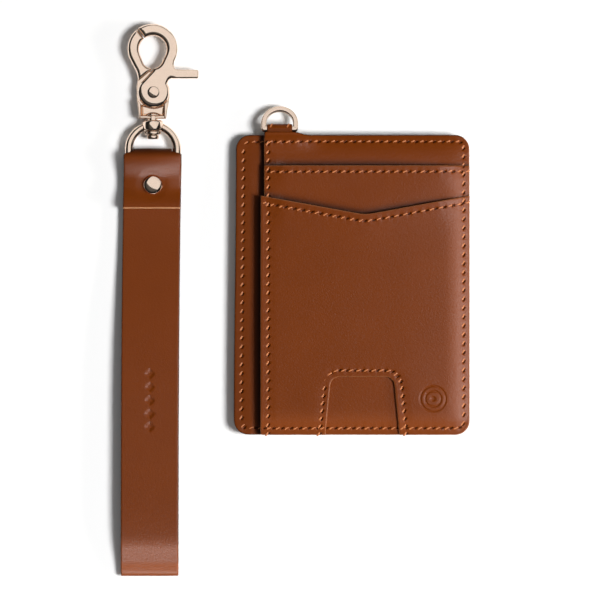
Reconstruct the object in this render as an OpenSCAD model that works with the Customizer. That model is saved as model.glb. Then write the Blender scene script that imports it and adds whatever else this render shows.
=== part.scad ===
// Minimalist leather card wallet with a ring tab, and its detachable wrist strap.
// The wallet lies on its back: +X right, +Y towards the ring, +Z out of the front face.
// The origin is the centre of the wallet's underside. All sizes are in millimetres.

/* [Wallet] */
// Width of the wallet
wallet_w = 72.6; // [70:0.1:78]
// Height of the wallet
wallet_h = 92.6; // [91:0.1:98]
// Radius of the outer corners
corner_r = 4.4; // [2:0.1:6]
// Distance from an outer edge to its stitch row
stitch_inset = 2.15; // [1.8:0.05:2.6]
// Width of the sewn margin round the pockets
margin = 3; // [2.6:0.1:3]
// Bare strip of the back panel, left of the front panel
bare_strip_w = 9.2; // [8:0.1:11]
// Overhang of the outer pocket beyond the front panel's left edge
pocket_overhang = 1.1; // [0.6:0.1:1.6]

/* [Leather] */
// Thickness of the back panel
back_t = 1.4; // [1.2:0.1:1.6]
// Thickness of the front panel
front_t = 1.2; // [1:0.1:1.4]
// Thickness of the two front pockets
pocket_t = 1; // [0.8:0.1:1.2]
// Thickness of the two rear pockets
rear_t = 1.1; // [0.9:0.1:1.2]
// Thickness of the shielding lining
lining_t = 0.25; // [0.2:0.05:0.35]
// Clear height of the centre pocket and of each rear pocket, room for one card
card_gap = 0.8; // [0.8:0.1:1.2]
// Clear height of each front pocket
slip_gap = 0.2; // [0.15:0.05:0.3]

/* [Pocket edges] */
// Middle pocket's top edge, below the top of the wallet
middle_drop = 9.5; // [8:0.1:11]
// Outer pocket's top edge at its sides, below the top of the wallet
outer_drop = 18.8; // [17:0.1:21]
// Depth of the outer pocket's V
v_depth = 5.9; // [4:0.1:8]
// Inner rear pocket's top edge, below the top of the wallet
rear_inner_drop = 9.5; // [8:0.5:11]
// Outer rear pocket's top edge, below the top of the wallet
rear_outer_drop = 19; // [17:0.5:22]
// Width of the thumb notch at its open end
notch_w = 22.8; // [20:0.1:24]
// Width of the thumb notch at its closed end
notch_top_w = 19.2; // [16:0.1:20]
// Depth of the thumb notch
notch_h = 17.9; // [14:0.1:20]
// Corner radius of the thumb notch
notch_r = 2.8; // [1.5:0.1:4]
// Centre of the thumb notch from the wallet's centre line
notch_x = 3.2; // [1:0.1:5]

/* [Stitching] */
// Length of one stitch
stitch_len = 2; // [1.6:0.1:2.2]
// Spacing of the stitches
stitch_pitch = 2.8; // [2.6:0.1:3.2]
// Thread radius
thread_r = 0.28; // [0.2:0.01:0.3]
// Slant of each stitch to its row, in degrees
stitch_slant = 16; // [5:1:20]

/* [Wallet ring] */
// Ring centre from the wallet's centre line
tab_x = -22.3; // [-23:0.1:-18]
// Width of the leather tab
tab_w = 7.8; // [7:0.1:8]
// Radius of the ring's straight bar
tab_bar_r = 0.8; // [0.7:0.05:0.85]
// Straight bar's distance beyond the wallet's top edge
tab_reach = 1.8; // [1.7:0.1:2.4]
// Outside width of the ring
small_ring_w = 11.5; // [11.5:0.1:12.5]
// Width of the ring's flat band
small_band_w = 1.65; // [1.4:0.05:1.65]
// How far the ring hangs down from level where the wallet lies, in degrees
ring_hang = 24; // [0:1:28]

/* [Wrist strap] */
// Centre line of the strap, from the wallet's centre line
strap_x = -61.5; // [-66:0.5:-60]
// Width of the strap
strap_w = 18; // [18:0.5:20]
// Thickness of the strap
strap_t = 1.5; // [1.3:0.1:1.5]
// Lowest point of the loop
loop_end_y = -90.2; // [-110:0.2:-80]
// Cut end of the front flap
flap_end_y = 23.6; // [20:0.1:25]
// Rivet position
rivet_y = 30.9; // [30:0.1:31.5]
// Radius of the rivet's cap
rivet_r = 2.95; // [2.5:0.05:3.2]

/* [Strap ring and swivel] */
// Straight bar of the strap ring
bar_y = 39.4; // [39:0.1:39.8]
// Radius of the ring's wire
wire_r = 1.25; // [1.1:0.05:1.25]
// Inside half width of the ring
ring_in_r = 6.2; // [6.2:0.1:6.6]
// Length of the straight limbs
limb_h = 2.4; // [2.2:0.1:2.6]
// Radius of the swivel boss
boss_r = 3.25; // [3:0.05:3.3]
// Radius of the swivel stud
stud_r = 1.5; // [1.3:0.05:1.6]
// Height of the mid plane of ring and hook
metal_z = 3.35; // [3.35:0.05:3.6]

/* [Snap hook] */
// Gate pivot
pivot_y = 59.5; // [59.4:0.1:60]
// Thickness of the hook's arms
arm_t = 3.7; // [3.5:0.1:3.8]
// Radius of the gate's disc
disc_r = 4.9; // [4.8:0.05:5]
// Radius of the gate pin
pin_r = 1; // [0.8:0.05:1.1]
// Length of the thumb tab beyond the pivot
thumb_x = 13.95; // [12:0.05:16]

/* [Hidden] */

hinge_gap = 0.08;
running_gap = 0.05;
leather = "sienna";
thread = "peru";
gold = "wheat";
steel = "silver";

// Wallet edges
right_x = wallet_w / 2;
top_y = wallet_h / 2;
front_x = bare_strip_w - right_x;
pocket_x = front_x - pocket_overhang;
middle_y = top_y - middle_drop;
outer_y = top_y - outer_drop;
rear_inner_y = top_y - rear_inner_drop;
rear_outer_y = top_y - rear_outer_drop;
v_x = (pocket_x + right_x) / 2;
notch_y = notch_h - top_y;
field_x = pocket_x + margin;

// Wallet layers, from the table up
back_z = 2 * (rear_t + card_gap);
back_top = back_z + back_t;
front_z = back_top + 2 * lining_t + card_gap;
front_top = front_z + front_t;
middle_top = front_top + slip_gap + pocket_t;
outer_top = middle_top + slip_gap + pocket_t;

// Ring tab
tab_y = top_y + tab_reach;
tab_z = (back_top + front_z) / 2;
tab_leaf = (front_z - back_top) / 2;

// Wrist strap layers at the rivet, at mid thickness
layer_gap = 0.05;
sole_z = strap_t / 2;
tail_z = sole_z + strap_t + layer_gap;
flap_z = tail_z + strap_t + layer_gap;
fold_r = wire_r + running_gap + strap_t / 2;
tail_end_y = 34.5;
loop_start_y = 21;
crest = [-26, 6.3];
bend_y = loop_end_y + strap_t / 2;
bend_z = 3;
shoulder_y = 37.6;

// Strap ring and swivel
ring_r = ring_in_r + wire_r;
ring_y = bar_y + limb_h;
boss_y = [ring_y + ring_r - 1.75, ring_y + ring_r + 1.65];
base_y = boss_y[1] + 0.4;

// Snap hook, measured from the gate pivot
pivot_x = strap_x + 0.2;
arm_z = metal_z - arm_t / 2;
arm_top = metal_z + arm_t / 2;
plate_z = 3.5;
cheek_z = 1.35;
cheek_top = 3.35;
eye = [-0.25, 13.25];
eye_r = 4.25;
eye_low = [-0.25, 8.85];
eye_low_r = 1.3;
crown = [-0.3, 13.45];
crown_r = 7.75;
eye_a = asin((eye_r - eye_low_r) / norm(eye - eye_low));
jaw_a = 127;
jaw_gap = 0.3;
base_h = pivot_y - base_y;

// ---- Curves ----

function arc(c, r, a0, a1, n = 12) =
    [for (i = [0:n]) c + r * [cos(a0 + (a1 - a0) * i / n), sin(a0 + (a1 - a0) * i / n)]];

function ease(u) = u * u * (3 - 2 * u);

// Eased run from point a to point b, level at both ends
function s_curve(a, b, n) =
    [for (i = [0:n]) [a[0] + (b[0] - a[0]) * i / n, a[1] + (b[1] - a[1]) * ease(i / n)]];

function bezier(a, b, c, d, n) =
    [for (i = [1:n]) let (u = i / n, v = 1 - u)
        v * v * v * a + 3 * v * v * u * b + 3 * v * u * u * c + u * u * u * d];

function unit(v) = v / norm(v);
function normal(p, i) =
    let (d = unit(p[min(i + 1, len(p) - 1)] - p[max(i - 1, 0)])) [-d[1], d[0]];
function side(p, w) = [for (i = [0:len(p) - 1]) p[i] + w * normal(p, i)];
function reversed(p) = [for (i = [len(p) - 1:-1:0]) p[i]];
function band(p, w) = concat(side(p, w / 2), reversed(side(p, -w / 2)));

// Places along a path: how far to each point, then the point at distance s
function reach(p, k) = k == 0 ? 0 : reach(p, k - 1) + norm(p[k] - p[k - 1]);
function leg(p, s) = [for (k = [1:len(p) - 1]) if (s <= reach(p, k) || k == len(p) - 1) k][0];
function spot(p, s) =
    let (k = leg(p, s), d = unit(p[k] - p[k - 1])) p[k - 1] + (s - reach(p, k - 1)) * d;
function heading(p, s) =
    let (k = leg(p, s), d = p[k] - p[k - 1]) atan2(d[1], d[0]);

// ---- Wallet outlines ----

// Sheet with round right corners; the left ones have their own radius
function sheet(left, top, left_r) = concat(
    arc([right_x - corner_r, corner_r - top_y], corner_r, -90, 0),
    top < top_y ? [[right_x, top]] : arc([right_x, top] - [corner_r, corner_r], corner_r, 0, 90),
    top < top_y ? [[left, top]] : arc([left + left_r, top - left_r], left_r, 90, 180),
    arc([left + left_r, left_r - top_y], left_r, 180, 270)
);

function v_edge(x) = outer_y - v_depth * (1 - abs(x - v_x) / (right_x - v_x));

function outer_outline() = concat(
    arc([right_x - corner_r, corner_r - top_y], corner_r, -90, 0),
    [[right_x, outer_y], [v_x, v_edge(v_x)], [pocket_x, outer_y]],
    arc([pocket_x + 0.6, 0.6 - top_y], 0.6, 180, 270)
);

// Thumb notch grown by g, closed end up, running out past the wallet's bottom edge
function notch(g, end_y) =
    let (
        flare = atan((notch_w - notch_top_w) / 2 / notch_h),
        r = notch_r + g,
        c = [notch_top_w / 2 + notch_r * (tan(flare) - 1 / cos(flare)), notch_y - notch_r],
        foot = notch_w / 2 + g / cos(flare) + (-top_y - end_y) * tan(flare)
    ) concat(
        [[notch_x - foot, end_y]],
        arc([notch_x - c[0], c[1]], r, 180 - flare, 90),
        arc([notch_x + c[0], c[1]], r, 90, flare),
        [[notch_x + foot, end_y]]
    );

function in_notch(x, y) = y < notch_y && abs(x - notch_x) < notch_w / 2;

// Height of the wallet's front surface at a point
function front_height(x, y) =
    x < front_x ? back_top
    : y < v_edge(x) && !in_notch(x, y) ? outer_top
    : y < middle_y ? middle_top : front_top;

// ---- Wallet ----

// A sheet sewn down round its margin, with a shallow field hollowed in its underside
module sewn_sheet(z, gap, thick, field_left, field_top) {
    field_low = margin - top_y;
    translate([0, 0, z])
    difference() {
        linear_extrude(gap + thick) children();
        translate([field_left, field_low, -1])
            cube([right_x - margin - field_left, field_top - field_low, gap + 1]);
    }
}

// Pocket on the back, hollowed in its upper side and open at its top edge
module rear_pocket(z, edge_y) color(leather)
    translate([0, 0, z])
    difference() {
        linear_extrude(rear_t + card_gap) polygon(sheet(-right_x, edge_y, corner_r));
        translate([margin - right_x, margin - top_y, rear_t])
            cube([wallet_w - 2 * margin, wallet_h, card_gap + 1]);
    }

module rear_outer_pocket() rear_pocket(0, rear_outer_y);

module rear_inner_pocket() rear_pocket(rear_t + card_gap, rear_inner_y);

module back_panel() color(leather)
    translate([0, 0, back_z])
        linear_extrude(back_t) polygon(sheet(-right_x, top_y, corner_r));

module lining(z) color("dimgray")
    translate([front_x + 0.5, margin - top_y + 0.1, z])
        cube([right_x - front_x - margin - 0.6, wallet_h - 2 * margin - 0.2, lining_t]);

module rear_lining() lining(back_top);

module front_lining() lining(front_z - lining_t);

module front_panel() color(leather)
    difference() {
        sewn_sheet(back_top, front_z - back_top, front_t, -wallet_w, top_y - margin)
            polygon(sheet(front_x, top_y, 0.6));
        translate([tab_x - tab_w / 2 - running_gap, top_y - 2 * margin, back_top - 1])
            cube([tab_w + 2 * running_gap, wallet_h, front_z - back_top + 1]);
    }

module middle_pocket() color(leather)
    sewn_sheet(front_top, slip_gap, pocket_t, field_x, wallet_h)
        polygon(sheet(front_x, middle_y, 0.6));

module outer_pocket() color(leather)
    difference() {
        sewn_sheet(middle_top, slip_gap, pocket_t, field_x, wallet_h)
            polygon(outer_outline());
        translate([0, 0, middle_top - 1])
            linear_extrude(4) polygon(notch(0, -top_y - 1));
    }

// Folded strip: its two leaves meet in the top seam and part round the ring's bar
module ring_tab() color(leather)
    translate([tab_x - tab_w / 2, 0, 0])
    rotate([90, 0, 90])
    difference() {
        linear_extrude(tab_w) {
            polygon(concat(
                [[top_y - margin, back_top], [top_y, back_top]],
                arc([tab_y, tab_z], tab_bar_r + hinge_gap + tab_leaf, -90, 90, 16),
                [[top_y, front_z], [top_y - margin, front_z]]
            ));
        }
        translate([tab_y, tab_z, -1]) cylinder(h = tab_w + 2, r = tab_bar_r + hinge_gap, $fn = 64);
    }

module wallet_ring() color(gold)
    translate([tab_x, tab_y, tab_z])
    rotate([-ring_hang, 0, 0]) {
        mid_r = (small_ring_w - small_band_w) / 2;
        limb = 1.9;
        translate([0, limb, 0])
            rotate_extrude(angle = 180, $fn = 96)
                translate([mid_r - small_band_w / 2, -tab_bar_r])
                    square([small_band_w, 2 * tab_bar_r]);
        for (s = [-1, 1])
            translate([s * mid_r - small_band_w / 2, 0, -tab_bar_r])
                cube([small_band_w, limb, 2 * tab_bar_r]);
        translate([-small_ring_w / 2, 0, 0])
            rotate([0, 90, 0]) cylinder(h = small_ring_w, r = tab_bar_r, $fn = 48);
    }

// ---- Stitching ----

module stitch(x, y, z, a)
    translate([x, y, z])
    rotate([0, 0, a + stitch_slant])
    rotate([0, 90, 0])
        cylinder(h = stitch_len, r = thread_r, center = true, $fn = 24);

// Row of stitches along a path, lying half sunk in the front surface
module seam(path) color(thread) {
    length = reach(path, len(path) - 1);
    count = round(length / stitch_pitch);
    for (i = [0:count - 1]) {
        s = length * (i + 0.5) / count;
        p = spot(path, s);
        stitch(p[0], p[1], front_height(p[0], p[1]) + 0.05, heading(path, s));
    }
}

module perimeter_stitching() {
    x = right_x - stitch_inset;
    y = top_y - stitch_inset;
    turn = 1;
    seam([[turn - x, y], [x - turn, y]]);
    seam([[x, y - turn], [x, turn - y]]);
    seam([[x - turn, -y], [turn - x, -y]]);
    seam([[-x, turn - y], [-x, y - turn]]);
}

module opening_stitching()
    seam([[pocket_x + stitch_inset, top_y - 4], [pocket_x + stitch_inset, 4 - top_y]]);

module middle_stitching()
    seam([[field_x + 0.6, middle_y - 1.9], [right_x - margin - 0.6, middle_y - 1.9]]);

module outer_stitching() {
    ends = [field_x + 0.6, right_x - margin - 0.6];
    drop = [0, -2.25];
    seam([for (x = [ends[0], v_x, ends[1]]) [x, v_edge(x)] + drop]);
}

module notch_stitching()
    seam(notch(stitch_inset + 0.1, 4 - top_y));

// Two rows along the edges of the rear pockets, flush with the leather
module rear_stitching() color(thread) {
    count = floor((wallet_w - 2 * margin) / stitch_pitch);
    rows = [[rear_outer_y, 0], [rear_inner_y, rear_t + card_gap]];
    for (row = rows, i = [0:count - 1])
        stitch((i - (count - 1) / 2) * stitch_pitch, row[0] - 1.9, row[1] + thread_r, 0);
}

// Two stitches over the fold of the tab
module tab_stitching() color(thread)
    for (s = [-1, 1])
        translate([tab_x + s * 2.6, top_y + 0.65, front_z + 0.1])
        rotate([-62, 0, 0])
            cylinder(h = 1.6, r = thread_r, center = true, $fn = 24);

// ---- Wrist strap ----

// Mid line of the leather, from the flap's cut end round the ring, the bend and back
function strap_path() = concat(
    [[flap_end_y, flap_z]],
    s_curve([rivet_y + rivet_r + 0.1, flap_z], [bar_y, metal_z + fold_r], 8),
    arc([bar_y, metal_z], fold_r, 75, -75, 12),
    s_curve([bar_y, metal_z - fold_r], [rivet_y + 3.5, sole_z], 4),
    [[bend_y + 6, sole_z]],
    bezier([bend_y + 6, sole_z], [bend_y + 2, sole_z], [bend_y, 1.4], [bend_y, bend_z], 8),
    bezier([bend_y, bend_z], [bend_y, 4.6], [bend_y + 3.5, 5.5], [bend_y + 11, 5.8], 12),
    bezier([bend_y + 11, 5.8], [bend_y + 23, 6.3], [crest[0] - 20, crest[1]], crest, 8),
    bezier(crest, [crest[0] + 26, crest[1]], [loop_start_y - 14, tail_z], [loop_start_y, tail_z], 14),
    [[tail_end_y, tail_z]]
);

module wrist_strap() color(leather)
    difference() {
        translate([strap_x - strap_w / 2, 0, 0])
            rotate([90, 0, 90]) linear_extrude(strap_w) polygon(band(strap_path(), strap_t));
        translate([strap_x - strap_w, bar_y, metal_z])
            rotate([0, 90, 0])
                cylinder(h = 2 * strap_w, r = wire_r + hinge_gap, $fn = 64);
        for (s = [-1, 1])
            translate([strap_x + s * (ring_in_r - 0.1 + strap_w) - strap_w, shoulder_y, -1])
                cube([2 * strap_w, 10, 10]);
        translate([strap_x, rivet_y, -1]) cylinder(h = 8, r = 1.35, $fn = 48);
        translate([strap_x, rivet_y, -1]) cylinder(h = 1.5, r = rivet_r + 0.1, $fn = 64);
    }

module rivet_cap() color(gold)
    translate([strap_x, rivet_y, flap_z + strap_t / 2]) {
        dome_h = 1.2;
        dome_r = (rivet_r * rivet_r + dome_h * dome_h) / (2 * dome_h);
        intersection() {
            translate([0, 0, dome_h - dome_r]) sphere(r = dome_r, $fn = 128);
            cylinder(h = 2, r = rivet_r, $fn = 64);
        }
    }

module rivet_post() color(gold)
    translate([strap_x, rivet_y, 0]) {
        cylinder(h = 0.5, r = rivet_r, $fn = 64);
        cylinder(h = flap_z + strap_t / 2 + 0.5, r = 1.3, $fn = 48);
    }

// ---- Ring and swivel ----

module along_y(y0, y1, r)
    translate([strap_x, y0, metal_z])
        rotate([-90, 0, 0]) cylinder(h = y1 - y0, r = r, $fn = 64);

module strap_ring() color(gold)
    difference() {
        union() {
            translate([strap_x, ring_y, metal_z])
                rotate_extrude(angle = 180, $fn = 96)
                    translate([ring_r, 0]) circle(r = wire_r, $fn = 48);
            for (s = [-1, 1])
                translate([s * ring_r, 0, 0]) along_y(bar_y, ring_y, wire_r);
            for (s = [-1, 1])
                translate([strap_x + s * ring_r, bar_y, metal_z]) sphere(r = wire_r, $fn = 48);
            translate([strap_x - ring_r, bar_y, metal_z])
                rotate([0, 90, 0]) cylinder(h = 2 * ring_r, r = wire_r, $fn = 48);
            along_y(boss_y[0], boss_y[1], boss_r);
        }
        along_y(boss_y[0] - 5, boss_y[1] + 5, stud_r + running_gap);
    }

module swivel_stud() color(gold) {
    along_y(boss_y[0] - 2.5, boss_y[0] - 1.1, 1.85);
    along_y(boss_y[0] - 2, base_y + 1.2, stud_r);
    along_y(base_y + 0.9, base_y + 2.1, 2.3);
}

module swivel_washer() color(gold)
    difference() {
        along_y(boss_y[0] - 1.05, boss_y[0] - 0.05, 2.55);
        along_y(boss_y[0] - 3, boss_y[0] + 3, stud_r + 0.01);
    }

// ---- Snap hook ----

// Direction of the jaw's two faces, seen from the eye's centre at radius r
function jaw(r, s) = jaw_a + s * atan(jaw_gap / 2 / r);

// Left (-1) or right (1) side of the eye, from its low point round to the jaw
function eye_side(s) = concat(
    arc(eye_low, eye_low_r, 270 + s * 12, 270 + s * (90 - eye_a), 5),
    arc(eye, eye_r, 270 + s * (90 - eye_a), s > 0 ? 360 + jaw(eye_r, -1) : jaw(eye_r, 1), 18)
);

// Arm of the fixed body: crown from the jaw down the left side to the gate's edge
function body_arm() = concat(
    arc(crown, crown_r, jaw(crown_r, 1), 207, 12),
    [[-6.2, 8], [-5.3, 6.3], [-4.9, 4.6], [-4.75, 3.4], [-1.1, 6.5], [-0.65, 7.1]],
    eye_side(-1)
);

// Arm of the gate: crown from the jaw over the right side, down to its plate
function gate_arm() = concat(
    reversed(eye_side(1)),
    [[-0.1, 7.3], [0.7, 7.3], [6.35, 7.6], [6.3, 8.4], [6.5, 9.6]],
    arc(crown, crown_r, -18, jaw(crown_r, -1), 24)
);

function gate_plate() = [
    [-4.1, 2.7], [0.6, 7.1], [1.6, 8.6], [3.4, 9.2], [6, 9.2], [6.3, 8.4],
    [6.7, 7.3], [7.6, 7], [thumb_x, 7], [thumb_x, 4.2], [5.6, 4.2], [4.7, 3.7],
    [4.3, 2.5], [4.5, 1.2], [3, 0], [-3, 0]
];

// Cheek behind the gate's disc, with the foot that houses the swivel
function cheek() = [
    [-5.3, 6.3], [-4.9, 4.6], [-5.3, 1.6], [-5.3, -1.5], [-4.5, -base_h], [3.9, -base_h],
    [5, -1.5], [4.9, 1.4], [3.6, 4.4], [1, 6], [-1.1, 6.5], [-3.2, 6.5]
];

function foot() = [
    [-5.2, -2.4], [-4.5, -base_h], [3.9, -base_h], [4.9, -2.4]
];

module at_pivot(z) translate([pivot_x, pivot_y, z]) children();

module hook_body() color(gold)
    difference() {
        union() {
            at_pivot(arm_z) linear_extrude(arm_t) polygon(body_arm());
            at_pivot(cheek_z) linear_extrude(cheek_top - cheek_z) polygon(cheek());
            at_pivot(cheek_z) linear_extrude(5 - cheek_z) polygon(foot());
        }
        at_pivot(cheek_top) cylinder(h = 4, r = disc_r + 0.2, $fn = 96);
        at_pivot(0) translate([-4, 0.9 - base_h, 0]) cube([7.4, 3.1, 7]);
        at_pivot(0) cylinder(h = 7, r = pin_r, $fn = 48);
        at_pivot(cheek_z + 0.7) cylinder(h = 4, r = 2.6, $fn = 64);
        along_y(base_y - 1, base_y + 1, stud_r + 0.01);
    }

module gate_lever() color(gold)
    difference() {
        union() {
            at_pivot(plate_z) cylinder(h = arm_top - plate_z, r = disc_r, $fn = 96);
            at_pivot(plate_z) linear_extrude(arm_top - plate_z) polygon(gate_plate());
            at_pivot(arm_z) linear_extrude(arm_t) polygon(gate_arm());
            at_pivot(2.4) translate([7, 4.2, 0]) cube([thumb_x - 7, 2.8, arm_top - 2.4]);
        }
        at_pivot(0) cylinder(h = 7, r = pin_r + running_gap, $fn = 48);
    }

module gate_pin() color(gold)
    at_pivot(0) {
        translate([0, 0, cheek_z]) cylinder(h = arm_top + 0.3 - cheek_z, r = pin_r, $fn = 48);
        translate([0, 0, arm_top + running_gap]) cylinder(h = 0.45, r = 1.85, $fn = 64);
    }

module gate_spring() color(steel)
    at_pivot(cheek_z + 0.75)
        difference() {
            cylinder(h = 1.15, r = 2.4, $fn = 64);
            translate([0, 0, -1]) cylinder(h = 4, r = 1.7, $fn = 64);
        }

rear_outer_pocket();
rear_inner_pocket();
back_panel();
rear_lining();
front_lining();
front_panel();
middle_pocket();
outer_pocket();
ring_tab();
wallet_ring();
perimeter_stitching();
opening_stitching();
middle_stitching();
outer_stitching();
notch_stitching();
rear_stitching();
tab_stitching();
wrist_strap();
rivet_cap();
rivet_post();
strap_ring();
swivel_stud();
swivel_washer();
hook_body();
gate_lever();
gate_pin();
gate_spring();
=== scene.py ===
"""Looks of a slim stitched card wallet and its wrist strap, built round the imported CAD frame.

Lengths are millimetres until a mesh is made. Each leather layer is a sheet between two height
functions of (x, y), so the layers follow each other where the seams draw them down.
"""
import math

import bpy
import numpy as np
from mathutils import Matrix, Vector, geometry


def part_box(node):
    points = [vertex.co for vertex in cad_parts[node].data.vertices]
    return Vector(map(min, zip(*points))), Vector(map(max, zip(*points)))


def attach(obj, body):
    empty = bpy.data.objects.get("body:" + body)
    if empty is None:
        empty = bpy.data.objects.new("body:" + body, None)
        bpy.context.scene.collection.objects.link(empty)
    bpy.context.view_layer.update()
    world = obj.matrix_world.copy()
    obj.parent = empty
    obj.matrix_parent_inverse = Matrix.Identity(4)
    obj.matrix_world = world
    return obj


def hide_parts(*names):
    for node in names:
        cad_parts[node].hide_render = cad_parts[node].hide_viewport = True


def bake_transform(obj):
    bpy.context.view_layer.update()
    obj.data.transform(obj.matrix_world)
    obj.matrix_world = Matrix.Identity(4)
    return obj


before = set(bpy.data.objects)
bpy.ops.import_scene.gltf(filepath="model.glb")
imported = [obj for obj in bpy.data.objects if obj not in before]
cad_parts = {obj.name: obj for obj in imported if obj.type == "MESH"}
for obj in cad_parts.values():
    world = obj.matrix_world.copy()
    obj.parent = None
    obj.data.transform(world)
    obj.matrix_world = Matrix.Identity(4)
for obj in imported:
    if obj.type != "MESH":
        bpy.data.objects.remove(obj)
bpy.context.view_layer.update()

MM = 0.001


# ---- Numbers taken from the frame ----

def box(node):
    """Lowest and highest corner of a CAD node, in millimetres."""
    low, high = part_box(node)
    return low / MM, high / MM


BACK_LOW, BACK_HIGH = box("back_panel")
FRONT_LOW, FRONT_HIGH = box("front_panel")
OUTER_LOW, OUTER_HIGH = box("outer_pocket")
RING_LOW, RING_HIGH = box("wallet_ring")
TAB_LOW, TAB_HIGH = box("ring_tab")
STRAP_LOW, STRAP_HIGH = box("wrist_strap")
RIVET_LOW, RIVET_HIGH = box("rivet_cap")
LOOP_LOW, LOOP_HIGH = box("strap_ring")
STUD_LOW, STUD_HIGH = box("swivel_stud")
WASHER_LOW, WASHER_HIGH = box("swivel_washer")
GATE_HIGH = box("gate_lever")[1]
PIN_LOW, PIN_HIGH = box("gate_pin")
SPRING_LOW, SPRING_HIGH = box("gate_spring")

RIGHT = BACK_HIGH.x
TOP = BACK_HIGH.y
BACK_BASE = BACK_LOW.z
BACK_TOP = BACK_HIGH.z
FRONT_LEFT = FRONT_LOW.x
FRONT_TOP = FRONT_HIGH.z
FRONT_T = 1.2
POCKET_T = 1.0
POCKET_LEFT = OUTER_LOW.x
MIDDLE_EDGE = box("middle_pocket")[1].y
OUTER_EDGE = OUTER_HIGH.y
REAR_INNER_EDGE = box("rear_inner_pocket")[1].y
REAR_OUTER_EDGE = box("rear_outer_pocket")[1].y
REAR_INNER_BASE = box("rear_inner_pocket")[0].z
REAR_T = 1.1

TAB_X = (TAB_LOW.x + TAB_HIGH.x) / 2
TAB_HALF = (TAB_HIGH.x - TAB_LOW.x) / 2
CORNER_R = 4.4
POCKET_R = 0.6
ROW_DROP = 1.9
MARGIN = 3.0
STITCH_INSET = 2.15
STITCH_PITCH = 2.75
NOTCH_PITCH = 2.3
V_X = (POCKET_LEFT + RIGHT) / 2
V_DEPTH = 5.9
V_ROUND = 2.4
NOTCH_X = 3.2
NOTCH_W = 22.8
NOTCH_TOP_W = 19.2
NOTCH_H = 17.9
NOTCH_R = 2.8

# Places of the two plain ornaments: a double ring on the wallet and diamonds on the strap
ROSETTE = (25.0, -35.1)
ROSETTE_R = 3.9
DIAMOND_Y = -35.7
DIAMOND_PITCH = 4.1
DIAMOND_R = 1.5


# ---- Plane geometry ----

def arc(centre, r, a0, a1, n=12):
    """Points on an arc from angle a0 to a1, in degrees."""
    turns = [math.radians(a0 + (a1 - a0) * i / n) for i in range(n + 1)]
    return [(centre[0] + r * math.cos(t), centre[1] + r * math.sin(t)) for t in turns]


def resampled(points, step, closed=True):
    """The same line with points no further apart than step, every corner kept."""
    ends = points[1:] + points[:1] if closed else points[1:]
    out = []
    for a, b in zip(points, ends):
        length = math.dist(a, b)
        if length < 1e-6:
            continue
        n = max(1, math.ceil(length / step - 1e-6))
        out += [(a[0] + (b[0] - a[0]) * i / n, a[1] + (b[1] - a[1]) * i / n) for i in range(n)]
    if not closed:
        out.append(points[-1])
    return out


def normals(points):
    """Unit normals of a closed counter-clockwise line, pointing inwards."""
    p = np.array(points)
    d = np.roll(p, -1, 0) - np.roll(p, 1, 0)
    d /= np.linalg.norm(d, axis=1)[:, None]
    return np.stack([-d[:, 1], d[:, 0]], 1)


def edge_distance(xy, outline):
    """Distance from each point to the nearest side of a closed outline."""
    a = np.array(outline)
    ab = np.roll(a, -1, 0) - a
    keep = (ab ** 2).sum(1) > 1e-12
    a, ab = a[keep], ab[keep]
    out = np.empty(len(xy))
    for i in range(0, len(xy), 4000):
        p = xy[i:i + 4000, None, :] - a
        t = np.clip((p * ab).sum(2) / (ab ** 2).sum(1), 0, 1)
        out[i:i + 4000] = np.linalg.norm(p - t[..., None] * ab, axis=2).min(1)
    return out


def inside(xy, outline):
    """Which points lie inside a closed outline."""
    a = np.array(outline)
    b = np.roll(a, -1, 0)
    out = np.zeros(len(xy), bool)
    for (ax, ay), (bx, by) in zip(a, b):
        if ay == by:
            continue
        crosses = (xy[:, 1] < ay) != (xy[:, 1] < by)
        x_at = ax + (xy[:, 1] - ay) * (bx - ax) / (by - ay)
        out ^= crosses & (xy[:, 0] < x_at)
    return out


def inset_rings(outline, rim, insets, least):
    """The rim moved inwards by each inset, where it still lies clear of the outline."""
    inward = normals(rim)
    rings = []
    for inset in insets:
        ring = rim + inward * inset
        clear = inside(ring, outline) & (edge_distance(ring, outline) > inset * least)
        rings.append(ring[clear])
    return rings


def smooth(t):
    """Eases from 0 to 1 as t goes from 0 to 1."""
    t = np.clip(t, 0, 1)
    return t * t * (3 - 2 * t)


def quarter(away, width, height):
    """Drop of a rounded rim at a distance from its edge."""
    return height * (1 - np.sqrt(1 - np.clip(1 - away / width, 0, 1) ** 2))


def ripple(xy, size, seed):
    """Soft random height between about -1 and 1, with hollows about size across."""
    rng = np.random.default_rng(seed)
    total = np.zeros(len(xy))
    for _ in range(7):
        turn = rng.uniform(0, 2 * math.pi)
        wave = 2 * math.pi / (size * rng.uniform(0.8, 1.7))
        along = xy[:, 0] * math.cos(turn) + xy[:, 1] * math.sin(turn)
        total += np.sin(along * wave + rng.uniform(0, 2 * math.pi))
    return total / 3.5


# ---- Meshes and objects ----

def make_object(name, points, faces, material, sharp=45, values=None):
    """Makes a mesh object from points in millimetres; values are named per-point numbers."""
    points = np.asarray(points, float)
    used = np.zeros(len(points), bool)
    used[np.concatenate([np.asarray(face) for face in faces])] = True
    new_place = np.cumsum(used) - 1
    mesh = bpy.data.meshes.new(name)
    mesh.from_pydata((points[used] * MM).tolist(), [], [[int(new_place[i]) for i in face] for face in faces])
    mesh.update()
    for key, numbers in (values or {}).items():
        attribute = mesh.attributes.new(key, "FLOAT", "POINT")
        attribute.data.foreach_set("value", np.asarray(numbers, np.float32)[used])
    mesh.materials.append(material)
    mesh.shade_smooth()
    mesh.set_sharp_from_angle(angle=math.radians(sharp))
    piece = bpy.data.objects.new(name, mesh)
    bpy.context.scene.collection.objects.link(piece)
    return piece


def place(piece, body, slot, *nodes):
    """Rides a finished piece on its body and hides the CAD nodes it stands for; slot is not used."""
    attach(piece, body)
    if nodes:
        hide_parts(*nodes)
    return piece


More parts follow.
